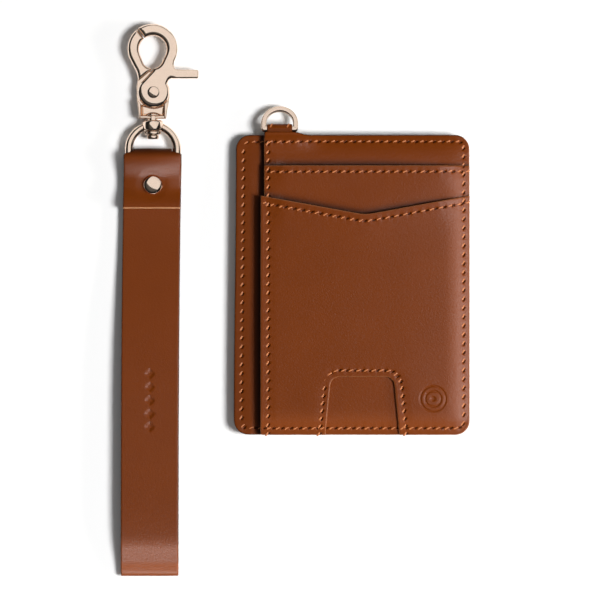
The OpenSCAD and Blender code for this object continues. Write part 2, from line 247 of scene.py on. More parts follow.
def wall_faces(first, second, n):
    """Quads between two rims of n points that start at the places first and second."""
    ring = np.arange(n)
    after = (ring + 1) % n
    return np.column_stack([ring + first, ring + second, after + second, after + first]).tolist()


class Shape:
    """Collects several closed meshes into one object."""

    def __init__(self):
        self.points = []
        self.faces = []

    def add(self, points, faces):
        start = len(self.points)
        self.points += [tuple(p) for p in points]
        self.faces += [[start + i for i in face] for face in faces]
        return self

    def loft(self, rings, closed=False):
        """Joins rings of equally many points; the ends are capped unless the loft is closed."""
        n = len(rings[0])
        faces = []
        last = len(rings) if closed else len(rings) - 1
        for k in range(last):
            a = k * n
            b = ((k + 1) % len(rings)) * n
            faces += [[a + i, a + (i + 1) % n, b + (i + 1) % n, b + i] for i in range(n)]
        if not closed:
            faces.append(list(range(n))[::-1])
            faces.append(list(range((len(rings) - 1) * n, len(rings) * n)))
        return self.add([p for ring in rings for p in ring], faces)


# ---- Materials ----

class Finish:
    """A new material with short ways to add nodes; its patterns are laid out in millimetres."""

    def __init__(self, name):
        self.material = bpy.data.materials.new(name)
        self.material.use_nodes = True
        self.tree = self.material.node_tree

    def give(self, socket, value):
        """Links a socket to another one, or sets its value."""
        if isinstance(value, bpy.types.NodeSocket):
            self.tree.links.new(value, socket)
        else:
            socket.default_value = value

    def add(self, kind, **inputs):
        """A new node with its inputs; an underscore in an input's name stands for a space."""
        node = self.tree.nodes.new("ShaderNode" + kind)
        for key, value in inputs.items():
            self.give(node.inputs[key.replace("_", " ")], value)
        return node

    def shaded(self, **inputs):
        """Sets the shader's inputs and hands over the material."""
        shader = self.tree.nodes["Principled BSDF"]
        for key, value in inputs.items():
            self.give(shader.inputs[key.replace("_", " ")], value)
        return self.material

    def millimetres(self):
        """Object coordinates scaled so that one unit is a millimetre."""
        scale = self.add("VectorMath")
        scale.operation = "SCALE"
        self.give(scale.inputs[0], self.add("TexCoord").outputs["Object"])
        self.give(scale.inputs["Scale"], 1 / MM)
        return scale.outputs[0]

    def mix(self, factor, a, b):
        """Mixes two colours; each of factor, a and b is a socket or a value."""
        node = self.add("Mix")
        node.data_type = "RGBA"
        for place_no, value in ((0, factor), (6, a), (7, b)):
            self.give(node.inputs[place_no], value)
        return node.outputs[2]

    def scaled(self, value, low, high, to_low, to_high):
        """Maps a socket's range low..high to to_low..to_high."""
        node = self.add("MapRange", Value=value, From_Min=low, From_Max=high, To_Min=to_low, To_Max=to_high)
        return node.outputs[0]

    def bump(self, height, **inputs):
        return self.add("Bump", Height=height, **inputs).outputs["Normal"]


def leather_material():
    """Smooth full-grain tan leather: pores, soft mottling, dark dye on cut edges, and painted light and
    shade: paler where slopes face the lamps, darker in needle holes, above pocket mouths, beside the front's
    open side and round folds.
    """
    finish = Finish("tan_leather")
    where = finish.millimetres()
    cloud = finish.add("TexNoise", Vector=where, Scale=0.09, Detail=3.0, Roughness=0.55).outputs["Fac"]
    pore = finish.add("TexVoronoi", Vector=where, Scale=2.6).outputs["Distance"]
    grain = finish.add("TexNoise", Vector=where, Scale=1.7, Detail=5.0, Roughness=0.65).outputs["Fac"]
    colour = finish.mix(finish.scaled(cloud, 0.3, 0.7, 0, 1),
                        (0.130, 0.0250, 0.0010, 1), (0.139, 0.0271, 0.0012, 1))
    colour = finish.mix(finish.scaled(pore, 0.0, 0.25, 0.25, 0), colour, (0.085, 0.018, 0.003, 1))
    # Attributes mixed in below: edge is dark edge dye together with painted shade; bend is painted light on
    # slopes that face the lamps; bare is the paler raw cut edge; the last is painted shade in the needle
    # holes.
    for name, tint in (("edge", (0.030, 0.008, 0.003, 1)), ("bend", (0.245, 0.058, 0.012, 1)),
                       ("bare", (0.66, 0.33, 0.16, 1)), ("painted_hole_shade", (0.034, 0.006, 0.001, 1))):
        amount = finish.add("Attribute")
        amount.attribute_name = name
        colour = finish.mix(amount.outputs["Fac"], colour, tint)
    fine = finish.bump(grain, Strength=0.45, Distance=0.00015)
    return finish.shaded(Base_Color=colour, Roughness=finish.scaled(grain, 0.3, 0.7, 0.33, 0.38),
                         Normal=finish.bump(pore, Strength=0.26, Distance=0.00006, Normal=fine),
                         Specular_IOR_Level=0.14)


def thread_material():
    """Waxed copper thread with a fine lay of fibres."""
    finish = Finish("copper_thread")
    fibre = finish.add("TexNoise", Vector=finish.millimetres(), Scale=5.0, Detail=3.0).outputs["Fac"]
    return finish.shaded(Base_Color=finish.mix(fibre, (0.36, 0.105, 0.026, 1), (0.60, 0.215, 0.080, 1)),
                         Normal=finish.bump(fibre, Strength=0.35, Distance=0.00006),
                         Roughness=0.42, Specular_IOR_Level=0.4)


def lining_material():
    """Grey woven shielding cloth with metal in its yarn."""
    finish = Finish("shielding_fabric")
    weave = finish.add("TexChecker", Vector=finish.millimetres(), Scale=3.0,
                       Color1=(0.075, 0.075, 0.08, 1), Color2=(0.13, 0.13, 0.14, 1))
    return finish.shaded(Base_Color=weave.outputs["Color"], Roughness=0.6, Metallic=0.3,
                         Normal=finish.bump(weave.outputs["Fac"], Strength=0.5, Distance=0.0001))


def metal_material(name, light, dark, roughness):
    """Polished plated metal with faint handling marks."""
    finish = Finish(name)
    haze = finish.add("TexNoise", Vector=finish.millimetres(), Scale=0.6, Detail=5.0, Roughness=0.65)
    haze = haze.outputs["Fac"]
    return finish.shaded(Base_Color=finish.mix(haze, light, dark), Metallic=1.0,
                         Roughness=finish.scaled(haze, 0.3, 0.7, roughness * 0.7, roughness * 1.4),
                         Normal=finish.bump(haze, Strength=0.05, Distance=0.0002))


def floor_material():
    """Plain white paper without gloss."""
    return Finish("floor_paper").shaded(Base_Color=(0.9, 0.9, 0.9, 1), Roughness=0.9, Specular_IOR_Level=0.0)


LEATHER = leather_material()
THREAD = thread_material()
LINING = lining_material()
GOLD = metal_material("light_gold", (0.95, 0.75, 0.61, 1), (0.91, 0.71, 0.57, 1), 0.08)
STEEL = metal_material("spring_steel", (0.62, 0.62, 0.64, 1), (0.5, 0.5, 0.52, 1), 0.25)


def cast(shape, node, body, name=None, sharp=50):
    """Makes a gold piece of a shape; it rides on a body and stands for a CAD node."""
    piece = make_object(name or node + "_metal", shape.points, shape.faces, GOLD, sharp)
    place(piece, body, "light_gold", node)


# ---- Heights of the wallet's layers ----

DRAW = 0.95          # how far the seams draw the front down
DRAW_W = 8.0         # how far in from the edge that reaches
PILLOW = 0.60        # slow fall of the front from its middle to the seams
PILLOW_W = 30.0
DROOP = 0.6          # how far the top hangs, above the rear pockets that hold it up
TAB_SWELL = 1.35     # how far the tab lifts the front's edge
REAR_DRAW = 0.45     # how far the seams draw each rear pocket up
LIP = 0.85           # how far a pocket's mouth stands open
LIP_W = 5.0          # how far down the pocket that shows
DIP_W = 2.0          # how far above the mouth the layer under it dips
FRONT_DIP = 0.6
MIDDLE_DIP = 0.5
CARD_GAP = 0.72


def sewn_distance(xy):
    """Distance from the top, right and bottom edges, where the front is sewn to the back."""
    right = RIGHT - xy[:, 0]
    ends = TOP - np.abs(xy[:, 1])
    soft = 3.0
    both = -soft * np.log(np.exp(-right / soft) + np.exp(-ends / soft))
    return np.maximum(both, 0)


def front_drop(xy):
    """How far the front surface comes down towards its seams, less what the tab lifts it."""
    s = sewn_distance(xy)
    steep = DRAW * np.clip(1 - s / DRAW_W, 0, 1) ** 2.4   # steeper near the seam than a round fall
    return steep + PILLOW * np.clip(1 - s / PILLOW_W, 0, 1) ** 2 - tab_swell(xy)


def tab_swell(xy):
    """How far the tab under the front's edge pushes it up."""
    across = smooth((15 - np.abs(xy[:, 0] - TAB_X)) / 11)
    return TAB_SWELL * across * smooth((xy[:, 1] - TOP + 6) / 5)


def droop(xy):
    """How far the whole wallet bends down near its top edge."""
    return DROOP * smooth((xy[:, 1] - REAR_INNER_EDGE + 5) / (TOP - REAR_INNER_EDGE + 8))


def back_base(xy):
    return BACK_BASE - droop(xy)


def back_top(xy):
    left = xy[:, 0] + RIGHT
    ends = TOP - np.abs(xy[:, 1])
    s = np.minimum(left, ends)
    worn = 0.2 * np.clip(1 - s / 6, 0, 1) ** 2
    return BACK_TOP - droop(xy) - worn + 0.03 * ripple(xy, 30, 3)


def mouth(xy, edge, width):
    """How far a pocket's mouth is free to open: 1 at its middle, 0 at its seams."""
    across = smooth((RIGHT - 1.5 - xy[:, 0]) / 9) * smooth((xy[:, 0] - POCKET_LEFT - 1.2) / 7)
    return across * np.exp(-np.abs(edge - xy[:, 1]) / width)


def front_base(xy):
    """Underside of the front panel: on the back at the seams, lifted over the card inside."""
    lift = FRONT_TOP - FRONT_T - BACK_TOP
    lifted = lift * smooth((sewn_distance(xy) - 2.2) / 3) - FRONT_DIP * mouth(xy, MIDDLE_EDGE, DIP_W)
    return BACK_TOP - droop(xy) + np.maximum(lifted, 0) + tab_swell(xy)


def front_level(xy):
    """Front panel's surface without the dip at the middle pocket's mouth."""
    return FRONT_TOP - droop(xy) - front_drop(xy) + 0.035 * ripple(xy, 34, 5)


def front_top(xy):
    return front_level(xy) - FRONT_DIP * mouth(xy, MIDDLE_EDGE, DIP_W)


def middle_base(xy):
    return front_level(xy) + LIP * mouth(xy, MIDDLE_EDGE, LIP_W) + 0.02


def middle_top(xy):
    return middle_base(xy) + POCKET_T - MIDDLE_DIP * mouth(xy, v_edge(xy[:, 0]), DIP_W)


def v_edge(x):
    """Height in y of the outer pocket's V-shaped edge, with a rounded point."""
    run = (RIGHT - POCKET_LEFT) / 2
    away = np.abs(np.asarray(x) - V_X)
    curved = V_ROUND / 2 + away ** 2 / (2 * V_ROUND)
    away = np.where(away < V_ROUND, curved, away)
    return OUTER_EDGE - V_DEPTH * (1 - away / run)


def outer_base(xy):
    return middle_base(xy) + POCKET_T + LIP * mouth(xy, v_edge(xy[:, 0]), LIP_W) + 0.02


def painted_seam_light(xy):
    """Painted light: how much paler the leather is made over the right and bottom margins, where its slopes
    face the lamps.
    """
    margin = np.minimum(RIGHT - xy[:, 0], TOP + xy[:, 1])
    return 0.42 * np.exp(-((margin - 3.2) / 3.2) ** 2) * smooth((MIDDLE_EDGE + 1 - xy[:, 1]) / 3)


def rosette(xy):
    """Depth of the plain double ring pressed into the outer pocket."""
    r = np.hypot(xy[:, 0] - ROSETTE[0], xy[:, 1] - ROSETTE[1])
    depth = 0
    for radius in (ROSETTE_R, ROSETTE_R * 0.62):
        depth = np.maximum(depth, smooth(1 - np.abs(r - radius) / 0.42))
    return 0.22 * np.maximum(depth, smooth((0.95 - r) / 0.5))


def outer_top(xy):
    belly = 0.10 * smooth((xy[:, 0] - POCKET_LEFT) / 20) * smooth((RIGHT - xy[:, 0]) / 24)
    return outer_base(xy) + POCKET_T + belly + 0.03 * ripple(xy, 22, 8) - rosette(xy)


# ---- Outlines of the wallet's layers ----

def sheet_outline(left, top, left_r):
    """Sheet with round right corners; the left corners have their own radius."""
    points = arc((RIGHT - CORNER_R, CORNER_R - TOP), CORNER_R, -90, 0)
    if top < TOP:
        points += [(RIGHT, top), (left, top)]
    else:
        points += arc((RIGHT - CORNER_R, TOP - CORNER_R), CORNER_R, 0, 90)
        points += arc((left + left_r, top - left_r), left_r, 90, 180)
    return points + arc((left + left_r, left_r - TOP), left_r, 180, 270)


def notch_line(grow, end_y):
    """The thumb notch grown by some distance, from its left foot over the top to its right foot."""
    flare = math.atan((NOTCH_W - NOTCH_TOP_W) / 2 / NOTCH_H)
    r = NOTCH_R + grow
    half = NOTCH_TOP_W / 2 + NOTCH_R * (math.tan(flare) - 1 / math.cos(flare))
    y = NOTCH_H - TOP - NOTCH_R
    foot = NOTCH_W / 2 + grow / math.cos(flare) + (-TOP - end_y) * math.tan(flare)
    tilt = math.degrees(flare)
    return ([(NOTCH_X - foot, end_y)]
            + arc((NOTCH_X - half, y), r, 180 - tilt, 90)
            + arc((NOTCH_X + half, y), r, 90, tilt)
            + [(NOTCH_X + foot, end_y)])


def in_notch(xy):
    return (xy[:, 1] < NOTCH_H - TOP) & (np.abs(xy[:, 0] - NOTCH_X) < NOTCH_W / 2)


def outer_outline():
    points = arc((RIGHT - CORNER_R, CORNER_R - TOP), CORNER_R, -90, 0)
    points.append((RIGHT, OUTER_EDGE))
    bend = np.linspace(V_X + V_ROUND, V_X - V_ROUND, 11)
    points += [(x, float(v_edge(x))) for x in bend]
    points.append((POCKET_LEFT, OUTER_EDGE))
    points += arc((POCKET_LEFT + POCKET_R, POCKET_R - TOP), POCKET_R, 180, 270, 5)
    return points + notch_line(0, -TOP)


# ---- Stitch rows ----

SLIT_LEN = 1.25      # length of a needle slit
SLIT_W = 0.50
SLIT_DEPTH = 0.6
THREAD_LEN = 2.2     # length of a visible stitch
THREAD_R = 0.32


def slant(heading):
    """Direction of a stitch in a row with that heading: all stitches lean the same way."""
    return math.radians(41 - 16 * math.cos(2 * heading))


def slit_place(stitch):
    """Centre and direction of a stitch's slit: beyond its end in a level row, else beside it."""
    x, y, heading = stitch
    d = np.array([math.cos(heading), math.sin(heading)])
    level = d[0] ** 2
    if (d[0] < 0 if level > 0.5 else d[1] > 0):
        d = -d
    dx, dy = level * 1.36 * d + (1 - level) * np.array([0.42, -0.30])
    return x + dx, y + dy - 0.05 * level, slant(heading)


def row(points, pitch=STITCH_PITCH, closed=False):
    """Stitches along a line: (x, y, heading) evenly spaced near the pitch."""
    p = np.array(points + points[:1] if closed else points)
    legs = np.linalg.norm(np.diff(p, axis=0), axis=1)
    reach = np.concatenate([[0], np.cumsum(legs)])
    n = round(reach[-1] / pitch)
    holes = []
    for i in range(n if closed else n + 1):
        s = reach[-1] * i / n
        k = min(np.searchsorted(reach, s, side="right") - 1, len(legs) - 1)
        step = (p[k + 1] - p[k]) / legs[k]
        x, y = p[k] + (s - reach[k]) * step
        holes.append((x, y, math.atan2(step[1], step[0])))
    return holes


def perimeter_line(turn):
    x = RIGHT - STITCH_INSET
    y = TOP - STITCH_INSET
    return (arc((x - turn, turn - y), turn, -90, 0, 6) + arc((x - turn, y - turn), turn, 0, 90, 6)
            + arc((turn - x, y - turn), turn, 90, 180, 6) + arc((turn - x, turn - y), turn, 180, 270, 6))


def middle_line():
    y = MIDDLE_EDGE - ROW_DROP
    return [(POCKET_LEFT + 1.1, y), (RIGHT - 0.9, y)]


def outer_line():
    drop = 2.1
    xs = [POCKET_LEFT + 1.1, V_X - V_ROUND, V_X, V_X + V_ROUND, RIGHT - 0.9]
    return [(x, float(v_edge(x)) - drop) for x in xs]


def opening_line():
    x = POCKET_LEFT + STITCH_INSET
    return [(x, TOP - STITCH_INSET - 0.4), (x, POCKET_R - TOP)]


SEAMS = {
    "perimeter_stitching": row(perimeter_line(2.1), closed=True),
    "opening_stitching": row(opening_line()),
    "middle_stitching": row(middle_line()),
    "outer_stitching": row(outer_line()),
    "notch_stitching": row(notch_line(2.0, POCKET_R - TOP), NOTCH_PITCH),
}
STITCHES = [stitch for stitches in SEAMS.values() for stitch in stitches]


def layer_at(xy):
    """Number of the front layer on top at each point: 0 back, 1 front, 2 middle, 3 outer."""
    layer = np.zeros(len(xy), int)
    layer[xy[:, 0] > FRONT_LEFT] = 1
    layer[(layer == 1) & (xy[:, 1] < MIDDLE_EDGE)] = 2
    outer = (xy[:, 0] > POCKET_LEFT) & (xy[:, 1] < v_edge(xy[:, 0])) & ~in_notch(xy)
    layer[outer] = 3
    return layer


def surface(xy):
    """Height of the wallet's front at each point."""
    tops = np.stack([back_top(xy), front_top(xy), middle_top(xy), outer_top(xy)])
    return tops[layer_at(xy), np.arange(len(xy))]


def holes_on(layer):
    """Slits of the stitches that lie on a layer."""
    slits = [slit_place(stitch) for stitch in STITCHES]
    chosen = layer_at(np.array([slit[:2] for slit in slits])) == layer
    return [slit for slit, taken in zip(slits, chosen) if taken]


# ---- Leather sheets ----

EDGE_W = 0.42        # width of a sheet's rounded top edge
EDGE_H = 0.36        # drop of that edge
RING_INSETS = (0.05, 0.14, 0.27, 0.42, 0.72, 1.1)
VALLEY = 0.10        # how deep a stitch row sinks into the leather


def hole_radius(xy, hole):
    """Distance from a needle hole, in which 1 is its rim."""
    x, y, a = hole
    dx = xy[:, 0] - x
    dy = xy[:, 1] - y
    along = dx * math.cos(a) + dy * math.sin(a)
    aside = -dx * math.sin(a) + dy * math.cos(a)
    return np.hypot(along / (SLIT_LEN / 2), aside / (SLIT_W / 2))


def hole_points(hole):
    """Rings of mesh points that give a needle hole its shape."""
    x, y, a = hole
    points = []
    for scale, count in ((0.0, 1), (0.5, 8), (0.85, 12), (1.15, 12), (1.75, 12)):
        for i in range(count):
            t = 2 * math.pi * i / count
            along = scale * SLIT_LEN / 2 * math.cos(t)
            aside = scale * SLIT_W / 2 * math.sin(t)
            points.append((x + along * math.cos(a) - aside * math.sin(a),
                           y + along * math.sin(a) + aside * math.cos(a)))
    return points


def stitched_relief(xy, holes):
    """Height change that needle holes give a sheet, and painted shade in and round the holes."""
    height = np.zeros(len(xy))
    dark = np.zeros(len(xy))
    for hole in holes:
        near = np.flatnonzero(np.hypot(xy[:, 0] - hole[0], xy[:, 1] - hole[1]) < 2.6)
        if not len(near):
            continue
        q = hole_radius(xy[near], hole)
        away = np.hypot(xy[near, 0] - hole[0], xy[near, 1] - hole[1])
        height[near] = np.minimum(height[near], -VALLEY * smooth(1 - away / 2.4))
        height[near] -= SLIT_DEPTH * smooth((1.12 - q) / 0.75)
        height[near] += 0.05 * smooth(1 - np.abs(q - 1.5) / 0.5)
        # Painted shade inside each slit.
        dark[near] = np.maximum(dark[near], 0.75 * smooth((1.2 - q) / 0.5))
    return height, dark


def settled(points):
    """Lets the wallet's left strip lie a little askew, as worn leather does."""
    points = np.array(points, float)
    strip_part = np.clip((FRONT_LEFT - points[:, 0]) / 8, 0, 1)
    points[:, 0] += strip_part * (0.65 * smooth((points[:, 1] + 36) / 75) - 0.15)
    return points


def dense_patch(centre, half_w, half_h, step):
    """Grid of extra mesh points where a pressed ornament needs them."""
    xs = np.arange(-half_w, half_w, step) + centre[0]
    ys = np.arange(-half_h, half_h, step) + centre[1]
    return np.stack(np.meshgrid(xs, ys), -1).reshape(-1, 2)


def triangulated(rim, inner):
    """Triangles between a closed rim and the points inside it; the rim's points come first."""
    points = [Vector(p) for p in rim] + [Vector(p) for p in inner]
    result = geometry.delaunay_2d_cdt(points, [], [list(range(len(rim)))], 1, 1e-7)
    faces, origins = result[2], result[3]
    order = [origin[0] for origin in origins]
    return [[order[i] for i in face] for face in faces]


def sheet_points(outline, rim, step, extra, holes):
    """Points inside a sheet: rings along its rim, an even grid, a dense patch and needle holes."""
    low, high = rim.min(0), rim.max(0)
    xs = np.arange(low[0] + step / 3, high[0], step)
    ys = np.arange(low[1] + step / 3, high[1], step)
    grid = np.stack(np.meshgrid(xs, ys), -1).reshape(-1, 2)
    grid[:, 0] += np.where(np.round((grid[:, 1] - low[1]) / step) % 2 < 1, step / 3, 0)
    grid = grid[inside(grid, outline)]
    grid = grid[edge_distance(grid, outline) > RING_INSETS[-1] + step * 0.4]
    if extra is not None:
        clear = (np.abs(grid - extra.mean(0)) > np.ptp(extra, 0) / 2 + 0.1).any(1)
        grid = np.concatenate([grid[clear], extra])
    inner = np.concatenate(inset_rings(outline, rim, RING_INSETS, 0.96) + [grid])
    if not holes:
        return inner
    marks = []
    for hole in holes:
        keep = np.hypot(inner[:, 0] - hole[0], inner[:, 1] - hole[1]) > 1.5
        keep[~keep] = hole_radius(inner[~keep], hole) > 2.1
        inner = inner[keep]
        marks += hole_points(hole)
    marks = np.array(marks)
    clear = inside(marks, outline) & (edge_distance(marks, outline) > 0.06)
    return np.concatenate([inner, marks[clear]])


def sheet_values(points, away, dark, paint, painted_light, shade):
    """Per-point numbers that colour a sheet; the first len(away) points are its top."""
    top = len(away)
    none = np.zeros(len(points))
    trim = np.ones(len(points))
    trim[:top] = smooth(1 - away / (EDGE_W * 0.9))
    painted = paint(points) if paint else none
    edge = trim * painted
    painted_hole_shade = none.copy()
    painted_hole_shade[:top] = dark
    # The edge value holds dark edge dye and painted shade, the bend value painted light, and the hole values
    # painted shade.
    return {"edge": np.maximum(edge, shade(points)) if shade else edge, "bare": 0.22 * trim * (1 - painted),
            "painted_hole_shade": painted_hole_shade, "bend": painted_light(points) if painted_light else none}


# Of its colour functions, paint lays dark dye on the edges, and the other two paint light and shade into the
# colour.
def leather_sheet(name, outline, base, top, holes=(), extra=None, step=0.7, paint=None, painted_light=None,
                  shade=None, flip=False, material=LEATHER):
    """A sheet between two height functions, its top edge rounded and its needle holes sunk.

    With flip, the heights are measured downwards, for the sheets seen from behind."""
    rim = np.array(resampled(outline, 0.5))
    inner = sheet_points(outline, rim, step, extra, holes)
    plane = np.concatenate([rim, inner])
    away = np.concatenate([np.zeros(len(rim)), edge_distance(inner, outline)])
    sunk, dark = stitched_relief(plane, holes)
    height = top(plane) + sunk - quarter(away, EDGE_W, EDGE_H)
    floor = base(rim)
    n = len(rim)
    lip = rim + normals(rim) * 0.12
    coarse = inner[::7]
    coarse = coarse[edge_distance(coarse, outline) > 0.8]
    points = np.concatenate([
        np.column_stack([plane, height]),
        np.column_stack([rim, np.minimum(floor + 0.14, height[:n] - 0.05)]),
        np.column_stack([np.concatenate([lip, coarse]), np.concatenate([floor, base(coarse)])]),
    ])
    wall = len(plane)
    under = wall + n
    faces = triangulated(rim, inner) + wall_faces(0, wall, n) + wall_faces(wall, under, n)
    faces += [[under + i for i in face[::-1]] for face in triangulated(lip, coarse)]
    values = sheet_values(points, away, dark, paint, painted_light, shade)
    if flip:
        points[:, 2] *= -1
        faces = [face[::-1] for face in faces]
    return make_object(name, settled(points), faces, material, 50, values)


def everywhere(points):
    return np.ones(len(points))


def mouth_painted_shade(points, above):
    """Painted shade on a layer just above the mouth of the pocket that lies on it."""
    across = smooth((RIGHT - points[:, 0]) / 30)
    width = 0.5 + 0.8 * across
    return (0.7 + 0.25 * across) * np.exp(-np.maximum(above - 0.15, 0) ** 2 / width ** 2) * (above > -0.6)


def front_painted_shadow(points):
    """Painted shadow on the back's strip along the front's open side."""
    reach = 1.5 + 0.9 * smooth((OUTER_EDGE + 1 - points[:, 1]) / 3)
    beside = FRONT_LEFT - points[:, 0]
    return 0.9 * smooth((reach + 0.7 - beside) / 1.5) * (points[:, 2] > BACK_TOP - 1.2)


EDGE_OUT = 1.0       # how far the front's edge stands out over the tab
EDGE_OUT_END = 9.3   # how far right of the tab's middle that ends


def build_back_panel():
    outline = sheet_outline(-RIGHT, TOP, CORNER_R)
    piece = leather_sheet("back_leather", outline, back_base, back_top, holes_on(0), paint=everywhere,
                          shade=front_painted_shadow)
    place(piece, "wallet", "tan_leather", "back_panel")


def build_front_panel():
    """The front; its top edge stands further out from the left end to just past the tab."""
    outline = [(x, y + EDGE_OUT * smooth((TAB_X + EDGE_OUT_END - x) / 5.5) * (y > TOP - 1.5))
               for x, y in resampled(sheet_outline(FRONT_LEFT, TOP, POCKET_R), 0.8)]
    # Only the top edge gets the dark edge dye; it also stands in for the shade on that edge, which faces
    # away from the lamps.
    piece = leather_sheet("front_leather", outline, front_base, front_top, holes_on(1), painted_light=painted_seam_light,
                          shade=lambda points: mouth_painted_shade(points, points[:, 1] - MIDDLE_EDGE),
                          paint=lambda points: smooth((points[:, 1] - TOP + 1.2) / 0.5))
    place(piece, "wallet", "tan_leather", "front_panel")


def build_middle_pocket():
    outline = sheet_outline(FRONT_LEFT, MIDDLE_EDGE, POCKET_R)
    piece = leather_sheet("middle_leather", outline, middle_base, middle_top, holes_on(2), painted_light=painted_seam_light,
                          shade=lambda points: mouth_painted_shade(points, points[:, 1] - v_edge(points[:, 0])))
    place(piece, "wallet", "tan_leather", "middle_pocket")


def build_outer_pocket():
    patch = dense_patch(ROSETTE, ROSETTE_R + 0.8, ROSETTE_R + 0.8, 0.2)
    piece = leather_sheet("outer_leather", outer_outline(), outer_base, outer_top, holes_on(3), patch,
                          painted_light=painted_seam_light)
    place(piece, "wallet", "tan_leather", "outer_pocket")


# ---- Rear of the wallet, built upside down ----

def rear_rise(xy):
    """How far the rear surface is drawn up towards its seams."""
    sides = RIGHT - np.abs(xy[:, 0])
    bottom = xy[:, 1] + TOP
    soft = 2.5
    s = -soft * np.log(np.exp(-sides / soft) + np.exp(-bottom / soft))
    return np.clip(1 - np.maximum(s, 0) / 8, 0, 1) ** 2


def rear_inner_face(xy):
    level = -REAR_INNER_BASE + droop(xy)
    return level - REAR_DRAW * rear_rise(xy) - 0.02 * (1 + ripple(xy, 26, 14))


def rear_outer_face(xy):
    return -0.14 - 2 * REAR_DRAW * rear_rise(xy) * 0.95 - 0.02 * (1 + ripple(xy, 26, 12))


def rear_holes(layer):
    """Holes of the seams that go through the rear: 1 inner pocket, 0 outer pocket, 2 back panel."""
    chosen = []
    for stitches in rear_seams():
        for x, y, turn in map(slit_place, stitches):
            here = 0 if y < REAR_OUTER_EDGE else 1 if y < REAR_INNER_EDGE else 2
            if here == layer:
                chosen.append((x, y, turn))
    return chosen


def rear_seams():
    """The perimeter seam seen from behind, and a row along each rear pocket's edge."""
    half = RIGHT - 1.2
    seams = [SEAMS["perimeter_stitching"]]
    for edge in (REAR_OUTER_EDGE, REAR_INNER_EDGE):
        seams.append(row([(-half, edge - ROW_DROP), (half, edge - ROW_DROP)]))
    return seams


def rear_pocket(name, edge, face, gap, holes):
    """A slip pocket; inside its seams its underside stands further off by the gap."""
    return leather_sheet(name, sheet_outline(-RIGHT, edge, CORNER_R),
                         lambda xy: face(xy) - REAR_T - gap * (rear_rise(xy) > 0.3),
                         face, holes, flip=True, step=1.0)


def build_rear_pockets():
    inner = rear_pocket("rear_inner_leather", REAR_INNER_EDGE, rear_inner_face, CARD_GAP, rear_holes(1))
    outer = rear_pocket("rear_outer_leather", REAR_OUTER_EDGE, rear_outer_face,
                        REAR_INNER_BASE - REAR_T - 0.3, rear_holes(0))
    place(inner, "wallet", "tan_leather", "rear_inner_pocket")
    place(outer, "wallet", "tan_leather", "rear_outer_pocket")


# ---- Thread ----

STRAND_RINGS = 13
STRAND_SIDES = 10
CROWN = 0.14         # how far a stitch's back stands above the leather


def strand(start, end, z):
    """One stitch: rings of a three-ply thread that rises out of one hole and dips into the next."""
    a = np.array(start)
    b = np.array(end)
    d = (b - a) / np.linalg.norm(b - a)
    aside = np.array([-d[1], d[0]])
    made = []
    for k in range(STRAND_RINGS):
        t = k / (STRAND_RINGS - 1)
        off = abs(2 * t - 1)
        centre = a + (b - a) * t
        r = THREAD_R * (1 - 0.22 * off ** 3)
        ring = []
        for i in range(STRAND_SIDES):
            turn = 2 * math.pi * i / STRAND_SIDES
            ply = 1 + 0.07 * math.cos(3 * (turn - 2.4 * t))
            out = centre + aside * r * ply * math.cos(turn)
            level = z + CROWN - THREAD_R - 0.5 * off ** 6
            ring.append((out[0], out[1], level + 0.9 * r * ply * math.sin(turn)))
        made.append(ring[::-1])
    return made


def sew(shape, stitches, height, lift=0.0):
    """Slanted strands on a surface, one for each stitch of a row."""
    for x, y, heading in stitches:
        lean = slant(heading)
        across = THREAD_LEN / 2 * math.cos(lean)
        along = THREAD_LEN / 2 * math.sin(lean)
        z = float(height(np.array([[x, y]]))[0]) - VALLEY + lift
        shape.loft(strand((x - across, y - along), (x + across, y + along), z))


def thread(shape, name, node):
    """Makes the thread of a seam from its strands."""
    piece = make_object(name, shape.points, shape.faces, THREAD, 60)
    place(piece, "wallet", "copper_thread", node)


def build_stitching():
    for seam, stitches in SEAMS.items():
        shape = Shape()
        sew(shape, stitches, surface)
        shape.points = settled(shape.points)
        thread(shape, seam.replace("stitching", "thread"), seam)


def rear_surface(xy):
    y = xy[:, 1]
    face = np.where(y < REAR_OUTER_EDGE, rear_outer_face(xy), rear_inner_face(xy))
    return np.where(y < REAR_INNER_EDGE, face, -back_base(xy))


def build_rear_stitching():
    shape = Shape()
    for stitches in rear_seams():
        sew(shape, stitches, rear_surface, -0.02)
    shape.points = settled(shape.points) * (1, 1, -1)
    shape.faces = [face[::-1] for face in shape.faces]
    thread(shape, "rear_thread", "rear_stitching")


# ---- Lining ----

def build_linings():
    low, high = box("front_lining")
    outline = [(low.x, low.y), (high.x, low.y), (high.x, high.y), (low.x, high.y)]
    thin = 0.22          # a little less than the CAD's cloth, to stay clear of the leather
    front = leather_sheet("front_lining_cloth", outline, lambda xy: lining_top(xy) - thin,
                          lining_top, step=2.5, material=LINING)
    rear = leather_sheet("rear_lining_cloth", outline, lambda xy: back_top(xy) + 0.02,
                         lambda xy: back_top(xy) + 0.02 + thin, step=2.5, material=LINING)
    place(front, "wallet", "shielding_fabric", "front_lining")
    place(rear, "wallet", "shielding_fabric", "rear_lining")


def lining_top(xy):
    return np.maximum(np.minimum(front_base(xy), front_top(xy) - FRONT_T), back_top(xy) + 0.6) - 0.02


# ---- Strips of leather that follow a line in the y-z plane ----

def bezier(a, b, c, d, n, first=1):
    points = []
    for i in range(first, n + 1):
        u = i / n
        v = 1 - u
        k = (v ** 3, 3 * v * v * u, 3 * v * u * u, u ** 3)
        points.append(tuple(k[0] * a[j] + k[1] * b[j] + k[2] * c[j] + k[3] * d[j] for j in (0, 1)))
    return points


def s_curve(a, b, n):
    return [(a[0] + (b[0] - a[0]) * i / n, a[1] + (b[1] - a[1]) * smooth(i / n)) for i in range(n + 1)]


